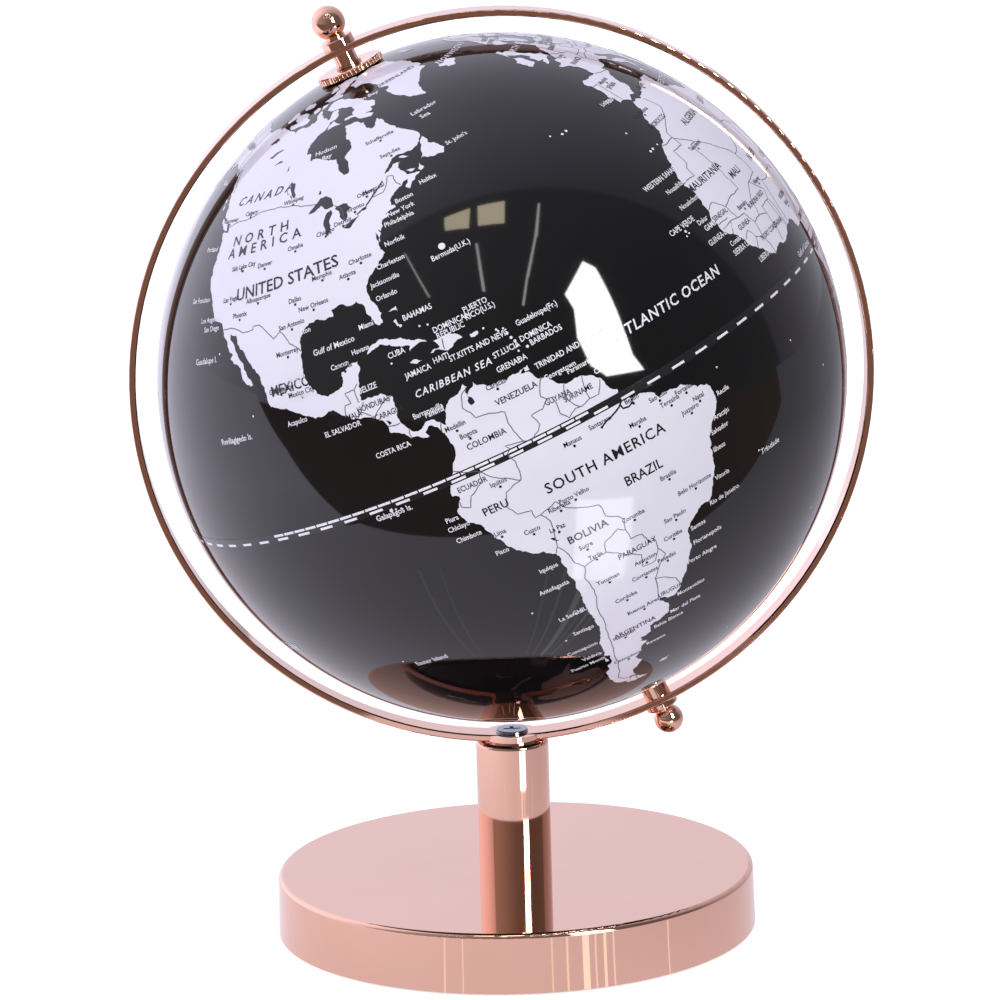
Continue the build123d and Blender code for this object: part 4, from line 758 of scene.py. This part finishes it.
def add_mesh(name, verts, faces, finish, normals=None):
    mesh = bpy.data.meshes.new(name)
    mesh.from_pydata([tuple(v) for v in verts], [], faces)
    mesh.materials.append(finish)
    for face in mesh.polygons:
        face.use_smooth = True
    if normals:
        mesh.normals_split_custom_set_from_vertices([tuple(n) for n in normals])
    piece = bpy.data.objects.new(name, mesh)
    scene.collection.objects.link(piece)
    return piece


def add_print(name, directions, faces, lift, finish):
    """A layer of ink on the ball: every point lies at the same height, with the ball's own normals."""
    turn = EARTH_FRAME.to_3x3()
    normals = [turn @ d for d in directions]
    verts = [BALL_CENTRE + n * (SEA_RADIUS + lift) for n in normals]
    facing = []
    for face in faces:
        a, b, c = (directions[i] for i in face[:3])
        outward = (b - a).cross(c - a).dot(a)
        facing.append(face if outward > 0 else tuple(reversed(face)))
    piece = add_mesh(name, verts, facing, finish, normals)
    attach(piece, "globe")
    return piece


def pairs(text):
    numbers = [float(word) for word in text.split()]
    return list(zip(numbers[0::2], numbers[1::2]))


def roughened(points, closed, step_deg, amount, seed):
    """Adds natural wander between the given points: each span is halved until it is short, and each new
    point steps aside by a seeded share of the span."""
    dice = random.Random(seed)
    line = [printed(*p) for p in points]
    if closed:
        line.append(line[0])
    shortest = math.radians(step_deg)
    while True:
        grown = [line[0]]
        split = False
        for a, b in zip(line, line[1:]):
            span = (b - a).length
            if span > shortest:
                aside = a.cross(b).normalized() * span * amount * dice.uniform(-1, 1)
                grown.append(((a + b) / 2 + aside).normalized())
                split = True
            grown.append(b)
        line = grown
        if not split:
            return line[:-1] if closed else line


def spread_points(spacing_deg):
    """Evenly spread directions all over the ball, on a golden-angle spiral."""
    count = int(41253 / spacing_deg ** 2)
    golden = math.pi * (3 - math.sqrt(5))
    for i in range(count):
        z = 1 - 2 * (i + 0.5) / count
        r = math.sqrt(1 - z * z)
        yield Vector((r * math.cos(golden * i), r * math.sin(golden * i), z))


FILL_POINTS = list(spread_points(1.5))


def filled(outline):
    """Triangles that fill a closed outline on the ball, through a flat stereographic chart around it."""
    middle = Vector((0, 0, 0))
    for p in outline:
        middle += p
    middle.normalize()
    east = middle.orthogonal().normalized()
    north = middle.cross(east)

    def chart(p):
        away = 2 / (1 + p.dot(middle))
        return Vector((p.dot(east) * away, p.dot(north) * away))

    reach = min(p.dot(middle) for p in outline)
    inner = [p for p in FILL_POINTS if p.dot(middle) > reach]
    flat = [chart(p) for p in outline + inner]
    ring = list(range(len(outline)))
    verts, _, faces, _, _, _ = delaunay_2d_cdt(flat, [], [ring], 1, 1e-6)
    directions = []
    for v in verts:
        quarter = v.length_squared / 4
        p = (middle * (1 - quarter) + east * v.x + north * v.y) / (1 + quarter)
        directions.append(p.normalized())
    return directions, [tuple(face) for face in faces]


def print_patches(name, outlines, lift, finish, step_deg, amount):
    directions, faces = [], []
    for number, text in enumerate(outlines):
        new, triangles = filled(roughened(pairs(text), True, step_deg, amount, number))
        start = len(directions)
        directions += new
        faces += [tuple(i + start for i in face) for face in triangles]
    return add_print(name, directions, faces, lift, finish)


def ribbon(line, width, lift_list, face_list):
    """Adds a ribbon of even width along a line of directions."""
    half = width / 2 / SEA_RADIUS
    start = len(lift_list)
    for i, p in enumerate(line):
        before = line[max(i - 1, 0)]
        after = line[min(i + 1, len(line) - 1)]
        side = (after - before).cross(p).normalized()
        lift_list += [(p + side * half).normalized(), (p - side * half).normalized()]
    for i in range(len(line) - 1):
        a = start + 2 * i
        face_list.append((a, a + 1, a + 3, a + 2))


def print_lines(name, lines, width, lift, finish, step_deg=0.5, amount=0.06):
    directions, faces = [], []
    for number, text in enumerate(lines.replace("\n        ", " ").strip().splitlines()):
        ribbon(roughened(pairs(text), False, step_deg, amount, number + 500), width, directions, faces)
    return add_print(name, directions, faces, lift, finish)


def dot(centre, radius, directions, faces, sides=14):
    east = centre.orthogonal().normalized()
    north = centre.cross(east)
    start = len(directions)
    for i in range(sides):
        turn = 2 * math.pi * i / sides
        rim = (east * math.cos(turn) + north * math.sin(turn)) * radius / SEA_RADIUS
        directions.append((centre + rim).normalized())
    faces.append(tuple(range(start, start + sides)))


def band(first, last, low, high, step_deg, directions, faces):
    """A strip between two latitudes, from one longitude to another."""
    count = max(1, round((last - first) / step_deg))
    start = len(directions)
    for i in range(count + 1):
        lon = first + (last - first) * i / count
        directions += [toward(lon, low), toward(lon, high)]
    for i in range(count):
        a = start + 2 * i
        faces.append((a, a + 2, a + 3, a + 1))


# The strip round the equator, its dashes and its cells: their latitudes, and their steps of longitude.
STRIP_LATITUDES = (-0.42, 1.12)
DASH_LATITUDES = (-0.2, 0.2)
DASH_STEP_DEG = 5
CELL_LATITUDES = (0.5, 0.9)
CELLS_START_DEG = -115.5
CELL_STEP_DEG = 2.5
CELL_LENGTH_DEG = 2.25
CELL_COUNT = 24


def print_equator():
    """A black strip round the equator, with white dashes and above them a row of white cells."""
    directions, faces = [], []
    band(-180, 180, *STRIP_LATITUDES, 1, directions, faces)
    add_print("equator_strip", directions, faces, LAND_LIFT * 1.25, DARK_INK)
    directions, faces = [], []
    for i in range(360 // DASH_STEP_DEG):
        west = -180 + DASH_STEP_DEG * i
        band(west, west + DASH_STEP_DEG / 2, *DASH_LATITUDES, 1.25, directions, faces)
    for i in range(CELL_COUNT):
        west = CELLS_START_DEG + CELL_STEP_DEG * i
        band(west, west + CELL_LENGTH_DEG, *CELL_LATITUDES, 1.25, directions, faces)
    add_print("equator_dashes", directions, faces, BORDER_LIFT, PALE_INK)


LETTER_BOLDNESS = 0.019
SIZE_OF_CAPITALS = 1.43
CITY_DOT_RADIUS = 0.42 * MM
CITY_NAME_RISE = 1.35


def print_labels():
    """Place names in the built-in letters, bent round the ball along their parallels of latitude."""
    jobs = []
    for style, text in LABELS.items():
        height, spacing, width, slant, ink, align = LABEL_STYLES[style]
        for entry in text.replace("\n", "|").split("|"):
            words = entry.split(None, 2)
            if len(words) < 3:
                continue
            curve = bpy.data.curves.new("label", "FONT")
            curve.body = words[2]
            curve.size = height * SIZE_OF_CAPITALS
            curve.space_character = spacing
            curve.shear = slant
            curve.align_x = align
            curve.align_y = "CENTER"
            curve.resolution_u = 2
            curve.offset = height * LETTER_BOLDNESS
            letters = bpy.data.objects.new("label", curve)
            scene.collection.objects.link(letters)
            jobs.append((letters, float(words[0]), float(words[1]), ink, width, style))
    bpy.context.view_layer.update()
    depsgraph = bpy.context.evaluated_depsgraph_get()
    inks = {"dark": ([], []), "pale": ([], [])}
    for letters, lon, lat, ink, width, style in jobs:
        flat = bpy.data.meshes.new_from_object(letters.evaluated_get(depsgraph))
        directions, faces = inks[ink]
        start = len(directions)
        row = printed_latitude(lat)
        lon += LEAN_DEG * math.sin(math.pi * eased(lat, SOUTH_STARTS_DEG, LEAN_ENDS_DEG))
        along = math.degrees(MM / BALL_RADIUS / math.cos(math.radians(row)))
        upward = math.degrees(MM / BALL_RADIUS)
        raised = CITY_NAME_RISE if style == "city" else 0
        for v in flat.vertices:
            directions.append(toward(lon + v.co.x * width * along, row + (v.co.y + raised) * upward))
        faces += [tuple(i + start for i in p.vertices) for p in flat.polygons]
        if style == "city":
            dot(toward(lon, row), CITY_DOT_RADIUS, directions, faces, 10)
        bpy.data.meshes.remove(flat)
        curve = letters.data
        bpy.data.objects.remove(letters)
        bpy.data.curves.remove(curve)
    add_print("names_on_land", *inks["dark"], LABEL_LIFT, DARK_INK)
    add_print("names_on_sea", *inks["pale"], LABEL_LIFT, PALE_INK)


def lathe(name, profile, finish, place, segments=256):
    """Turns a closed outline of (radius, height) points round the local Z axis."""
    verts, faces = [], []
    count = len(profile)
    for i in range(segments):
        turn = 2 * math.pi * i / segments
        for r, z in profile:
            verts.append(place @ Vector((r * math.cos(turn), r * math.sin(turn), z)))
    for i in range(segments):
        j = (i + 1) % segments
        for k in range(count):
            n = (k + 1) % count
            faces.append((i * count + k, j * count + k, j * count + n, i * count + n))
    return add_mesh(name, verts, faces, finish)


SEAM_GAP = 0.05 * MM
COVER_THICKNESS = 0.35 * MM
POLE_OPENING = 5.6 * MM
SEAM_ROUNDING = 0.12 * MM
OUTER_STEPS = 110
INNER_STEPS = 24
ROUND_STEPS = 4


def half_cover(name, node, side):
    """One half of the printed skin, from the opening at its pole to the seam at the equator."""
    inner = SEA_RADIUS - COVER_THICKNESS
    first = math.asin(POLE_OPENING / SEA_RADIUS)
    last = math.pi / 2 - SEAM_GAP / SEA_RADIUS
    profile = []
    for i in range(OUTER_STEPS + 1):
        polar = first + (last - SEAM_ROUNDING / SEA_RADIUS - first) * i / OUTER_STEPS
        profile.append((SEA_RADIUS * math.sin(polar), SEA_RADIUS * math.cos(polar)))
    for i in range(1, ROUND_STEPS + 1):
        turn = math.pi / 2 * i / ROUND_STEPS
        depth = SEA_RADIUS - SEAM_ROUNDING * (1 - math.cos(turn))
        height = SEAM_GAP + SEAM_ROUNDING * (1 - math.sin(turn))
        profile.append((depth, height))
    for i in range(INNER_STEPS + 1):
        polar = last + (first - last) * i / INNER_STEPS
        profile.append((inner * math.sin(polar), inner * math.cos(polar)))
    if side < 0:
        profile = [(r, -z) for r, z in reversed(profile)]
    piece = lathe(name, profile, SEA_INK, AXIS_FRAME)
    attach(piece, "globe")
    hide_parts(node)


BORDER_WIDTH = 0.26 * MM
RIVER_WIDTH = 0.5 * MM

half_cover("north_sea_skin", "north_map_cover", 1)
half_cover("south_sea_skin", "south_map_cover", -1)
print_patches("land", COASTS.values(), LAND_LIFT, LAND_INK, 0.45, 0.16)
print_patches("lakes", LAKES.values(), LAND_LIFT * 1.2, DARK_INK, 0.6, 0.14)
print_lines("borders", BORDERS, BORDER_WIDTH, BORDER_LIFT, BORDER_INK)
print_lines("river_mouths", RIVERS, RIVER_WIDTH, BORDER_LIFT, DARK_INK)
print_equator()
print_labels()


def print_island_dots():
    directions, faces = [], []
    for radius, text in ISLAND_DOTS.items():
        for place in pairs(text):
            dot(printed(*place), radius * MM, directions, faces)
    add_print("island_dots", directions, faces, BORDER_LIFT, PALE_INK)


print_island_dots()

# ---------------------------------------------------------------- finishes of the CAD pieces

FINISH_OF_SLOT = {
    "rose_gold": ROSE_GOLD, "map_print": SEA_INK, "shell_plastic": SHELL, "nylon": NYLON, "zinc_steel": ZINC,
    "nickel_screw": NICKEL, "ballast_steel": RAW_STEEL, "moulded_cover": COVER, "foam_pad": FOAM,
}
for subpart in record["subparts"]:
    mesh = frame["nodes"][subpart["node"]].data
    finish = FINISH_OF_SLOT[subpart["material_slot"]]
    if not mesh.materials:
        mesh.materials.append(finish)
    for i in range(len(mesh.materials)):
        mesh.materials[i] = finish

# ---------------------------------------------------------------- studio


# The white sheet the object stands on: its front edge, nearest first, and how far back it reaches.
SHEET_FRONT = [
    (-6.0, 0.1), (-0.7, -0.19), (-0.25, -0.18), (0.0, -0.27), (0.2, -0.14), (1.1, 0.14), (6.0, 0.9),
]
SHEET_BACK = 6.0
SHEET_GLOW = 0.5
# Painted light on the sheet, seen only off the camera: a glow across this width, from bright on the left to dark
# on the right, in these tones and at this strength.
SHEET_WIDTH = (-0.5, 0.7)
SHEET_PAINTED_LIGHT_TONES = [
    (0.08, (0.87, 0.835, 1.0)), (0.33, (0.60, 0.57, 0.65)),
    (0.58, (0.41, 0.39, 0.45)), (1.0, (0.28, 0.27, 0.31)),
]
SHEET_PAINTED_LIGHT_STRENGTH = 1.7
SHEET_DROP = 0.1 * MM

# The dark side of the room: the way it faces, and its tones from the far side to the near side; a second
# row of tones dims the room from left to right.
DARK_SIDE = Vector((0.185, -1.0, -0.29))
ROOM_TONES = [
    (0.0, (0.85, 0.84, 1.0)), (0.28, (0.72, 0.70, 0.85)), (0.44, (0.53, 0.51, 0.63)),
    (0.485, (0.47, 0.45, 0.55)),
    (0.50, (0.25, 0.24, 0.25)), (1.0, (0.17, 0.165, 0.16)),
]
SIDE_TONES = [(0.15, (1.0, 1.0, 1.0)), (0.5, (0.62, 0.62, 0.62)), (0.9, (0.38, 0.37, 0.36))]
ROOM_BRIGHTNESS = 1.9
BACKDROP_BRIGHTNESS = 1.1
# Painted light: the table in front is not lit; it glows at this fixed dark brown, seen only in reflections.
TABLE_PAINTED_GLOW = (0.23, 0.16, 0.13)
TABLE_REACH = 3.0
TABLE_DROP = 0.4 * MM


def tone_ramp(nodes, tones):
    ramp = nodes.new("ShaderNodeValToRGB")
    while len(ramp.color_ramp.elements) < len(tones):
        ramp.color_ramp.elements.new(0.5)
    for element, (position, colour) in zip(ramp.color_ramp.elements, tones):
        element.position = position
        element.color = (*colour, 1)
    return ramp


def make_floor():
    """A white sheet; the camera sees it plain white, and everything else sees a painted glow on it, brighter on
    the left as if the window light falls there.
    """
    m = bpy.data.materials.new("studio_sheet")
    m.use_nodes = True
    nodes, links = m.node_tree.nodes, m.node_tree.links
    shader = nodes["Principled BSDF"]
    shader.inputs["Base Color"].default_value = (0.93, 0.93, 0.93, 1)
    shader.inputs["Roughness"].default_value = 0.9
    shader.inputs["Specular IOR Level"].default_value = 0.0
    shader.inputs["Emission Color"].default_value = (1, 1, 1, 1)
    shader.inputs["Emission Strength"].default_value = SHEET_GLOW
    place = nodes.new("ShaderNodeTexCoord")
    apart = nodes.new("ShaderNodeSeparateXYZ")
    links.new(place.outputs["Object"], apart.inputs["Vector"])
    across = nodes.new("ShaderNodeMapRange")
    across.inputs["From Min"].default_value = SHEET_WIDTH[0]
    across.inputs["From Max"].default_value = SHEET_WIDTH[1]
    links.new(apart.outputs["X"], across.inputs["Value"])
    # Painted light: the glow is brighter on the left of the sheet, as if window light falls there.
    ramp = tone_ramp(nodes, SHEET_PAINTED_LIGHT_TONES)
    links.new(across.outputs["Result"], ramp.inputs["Fac"])
    lit = nodes.new("ShaderNodeEmission")
    lit.inputs["Strength"].default_value = SHEET_PAINTED_LIGHT_STRENGTH
    links.new(ramp.outputs["Color"], lit.inputs["Color"])
    ray = nodes.new("ShaderNodeLightPath")
    mix = nodes.new("ShaderNodeMixShader")
    links.new(ray.outputs["Is Camera Ray"], mix.inputs["Fac"])
    links.new(lit.outputs["Emission"], mix.inputs[1])
    links.new(shader.outputs["BSDF"], mix.inputs[2])
    links.new(mix.outputs["Shader"], nodes["Material Output"].inputs["Surface"])
    level = cad_box[0].z - SHEET_DROP
    mesh = bpy.data.meshes.new("sheet")
    corners = SHEET_FRONT + [(SHEET_BACK, SHEET_BACK), (-SHEET_BACK, SHEET_BACK)]
    mesh.from_pydata([(x, y, level) for x, y in corners], [], [tuple(range(len(corners)))])
    mesh.materials.append(m)
    sheet = bpy.data.objects.new("sheet", mesh)
    scene.collection.objects.link(sheet)


def make_surround():
    """A white room, dark where the camera and its crew stand; seen directly it is a plain white backdrop."""
    world = bpy.data.worlds.new("studio")
    scene.world = world
    world.use_nodes = True
    nodes, links = world.node_tree.nodes, world.node_tree.links
    nodes.clear()
    place = nodes.new("ShaderNodeTexCoord")
    toward_crew = nodes.new("ShaderNodeVectorMath")
    toward_crew.operation = "DOT_PRODUCT"
    toward_crew.inputs[1].default_value = DARK_SIDE
    links.new(place.outputs["Generated"], toward_crew.inputs[0])
    spread = nodes.new("ShaderNodeMapRange")
    spread.inputs["From Min"].default_value = -DARK_SIDE.length
    spread.inputs["From Max"].default_value = DARK_SIDE.length
    links.new(toward_crew.outputs["Value"], spread.inputs["Value"])
    depth_tone = tone_ramp(nodes, ROOM_TONES)
    links.new(spread.outputs["Result"], depth_tone.inputs["Fac"])
    apart = nodes.new("ShaderNodeSeparateXYZ")
    links.new(place.outputs["Generated"], apart.inputs["Vector"])
    across = nodes.new("ShaderNodeMapRange")
    across.inputs["From Min"].default_value = -1.0
    links.new(apart.outputs["X"], across.inputs["Value"])
    side_tone = tone_ramp(nodes, SIDE_TONES)
    links.new(across.outputs["Result"], side_tone.inputs["Fac"])
    both = nodes.new("ShaderNodeVectorMath")
    both.operation = "MULTIPLY"
    links.new(depth_tone.outputs["Color"], both.inputs[0])
    links.new(side_tone.outputs["Color"], both.inputs[1])
    room = nodes.new("ShaderNodeBackground")
    room.inputs["Strength"].default_value = ROOM_BRIGHTNESS
    links.new(both.outputs["Vector"], room.inputs["Color"])
    backdrop = nodes.new("ShaderNodeBackground")
    backdrop.inputs["Strength"].default_value = BACKDROP_BRIGHTNESS
    backdrop.inputs["Color"].default_value = (1, 1, 1, 1)
    ray = nodes.new("ShaderNodeLightPath")
    mix = nodes.new("ShaderNodeMixShader")
    links.new(ray.outputs["Is Camera Ray"], mix.inputs["Fac"])
    links.new(room.outputs["Background"], mix.inputs[1])
    links.new(backdrop.outputs["Background"], mix.inputs[2])
    out = nodes.new("ShaderNodeOutputWorld")
    links.new(mix.outputs["Shader"], out.inputs["Surface"])


def glowing(name, verts, strength, colour):
    """A flat glowing sheet that is seen only in reflections."""
    m = bpy.data.materials.new(name)
    m.use_nodes = True
    nodes = m.node_tree.nodes
    nodes.clear()
    glow = nodes.new("ShaderNodeEmission")
    glow.inputs["Color"].default_value = (*colour, 1)
    glow.inputs["Strength"].default_value = strength
    out = nodes.new("ShaderNodeOutputMaterial")
    m.node_tree.links.new(glow.outputs["Emission"], out.inputs["Surface"])
    mesh = bpy.data.meshes.new(name)
    mesh.from_pydata([tuple(v) for v in verts], [], [tuple(range(len(verts)))])
    mesh.materials.append(m)
    panel = bpy.data.objects.new(name, mesh)
    scene.collection.objects.link(panel)
    panel.visible_camera = False
    panel.visible_diffuse = False
    panel.visible_shadow = False


WHITE = (1.0, 1.0, 1.0)
DAYLIGHT = (1.0, 0.87, 0.63)
PANEL_DISTANCE = 2.5
STREAK_WIDTH_DEG = 0.7
PATCH_LEVEL = Vector((0, 0, cad_box[0].z + 0.2 * MM))
BASE_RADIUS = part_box("base_shell")[1].x + 0.5 * MM
STREAK_LENGTH = 0.12
# Where painted upright streaks show on the base's side, and how wide and bright each is; each is a glowing strip
# of sheet that the side mirrors.
PAINTED_SIDE_STREAKS = [
    (-21.0, 0.4, 1.3), (-16.5, 0.3, 1.25), (4.6, 0.4, 1.2), (8.2, 0.5, 1.3), (12.2, 1.6, 1.6),
    (15.2, 0.4, 1.3), (17.4, 0.7, 1.5), (19.8, 0.4, 1.3), (35.0, 0.4, 1.25),
]


def light_panel(name, corners, strength, colour=WHITE):
    """A panel whose corners are given by azimuth and elevation as seen from the ball."""
    glowing(name, [BALL_CENTRE + direction(a, e) * PANEL_DISTANCE for a, e in corners], strength, colour)


def light_streaks(name, path, strength):
    """A narrow curtain edge that lets light through, from one direction to the next."""
    for i, ((a0, e0), (a1, e1)) in enumerate(zip(path, path[1:])):
        width = STREAK_WIDTH_DEG / math.cos(math.radians(e0))
        light_panel(f"{name}_{i}", [(a0, e0), (a0 + width, e0), (a1 + width, e1), (a1, e1)], strength)


def painted_glint_patch(name, azimuths, reach, strength):
    """A painted glint: a brighter, glowing patch of the sheet around the post, seen only in reflections."""
    near, far = reach
    first, last = azimuths
    corners = [(first, near), (last, near), (last, far), (first, far)]
    glowing(name, [direction(a, 0) * r + PATCH_LEVEL for a, r in corners], strength, WHITE)


def painted_side_streak(name, azimuth, width, strength):
    """A glowing strip of sheet, seen only in reflections, that the base's side mirrors to the camera as a painted
    upright streak.
    """
    away = 2 * azimuth - CAMERA_AZIMUTH_DEG
    near = [direction(a, 0) * BASE_RADIUS for a in (azimuth, azimuth + width)]
    far = [p + direction(away + 2 * i * width, 0) * STREAK_LENGTH for i, p in enumerate(near)]
    glowing(name, [v + PATCH_LEVEL for v in (near[0], near[1], far[1], far[0])], strength, WHITE)


def area_light(name, azimuth, elevation, distance, size, watts):
    data = bpy.data.lights.new(name, "AREA")
    data.size = size
    data.energy = watts
    light = bpy.data.objects.new(name, data)
    back = direction(azimuth, elevation)
    light.location = BALL_CENTRE + back * distance
    light.rotation_euler = back.to_track_quat("Z", "Y").to_euler()
    scene.collection.objects.link(light)
    light.visible_glossy = False


make_floor()
make_surround()
SAIL = [
    (34, 45), (22, 36), (24, 31), (23, 22), (26, 13), (31, 9),
    (44, 9), (41, 14), (40, 22), (39, 33), (38, 42),
]
light_panel("sail_softbox", SAIL, 26)
light_panel("left_window_low", [(-37, 62), (-23, 67), (-20, 60), (-33, 58)], 7.5, DAYLIGHT)
light_panel("left_window_high", [(-18, 68), (3, 70), (1, 62), (-15, 61)], 7.5, DAYLIGHT)
light_streaks("curtain_left", [(-48, 48), (-31, 36)], 5)
light_streaks("curtain_middle", [(-15, 55), (-10, 39)], 6)
light_streaks("curtain_right", [(27, 67), (16, 56), (8, 43), (5, 34)], 6)
# The table in front, as a painted glow of fixed dark brown seen only in reflections.
table = [(-TABLE_REACH, -TABLE_REACH), (TABLE_REACH, -TABLE_REACH), (TABLE_REACH, 1), (-TABLE_REACH, 1)]
glowing("table_front_painted_glow", [(x, y, cad_box[0].z - TABLE_DROP) for x, y in table], 1.0, TABLE_PAINTED_GLOW)
# Painted glint on the sheet, which the post mirrors as an upright white streak.
painted_glint_patch("sheet_painted_glint", (18, 36), (0.168, 0.36), 4.5)
# Painted streaks: glowing strips of sheet that the base's side mirrors.
for i, (azimuth, width, strength) in enumerate(PAINTED_SIDE_STREAKS):
    painted_side_streak(f"painted_side_streak_{i}", azimuth, width, strength)
area_light("key", -25, 45, 2.0, 1.6, 8)
area_light("fill", 15, 15, 2.2, 1.6, 38)
scene.view_settings.view_transform = "Standard"
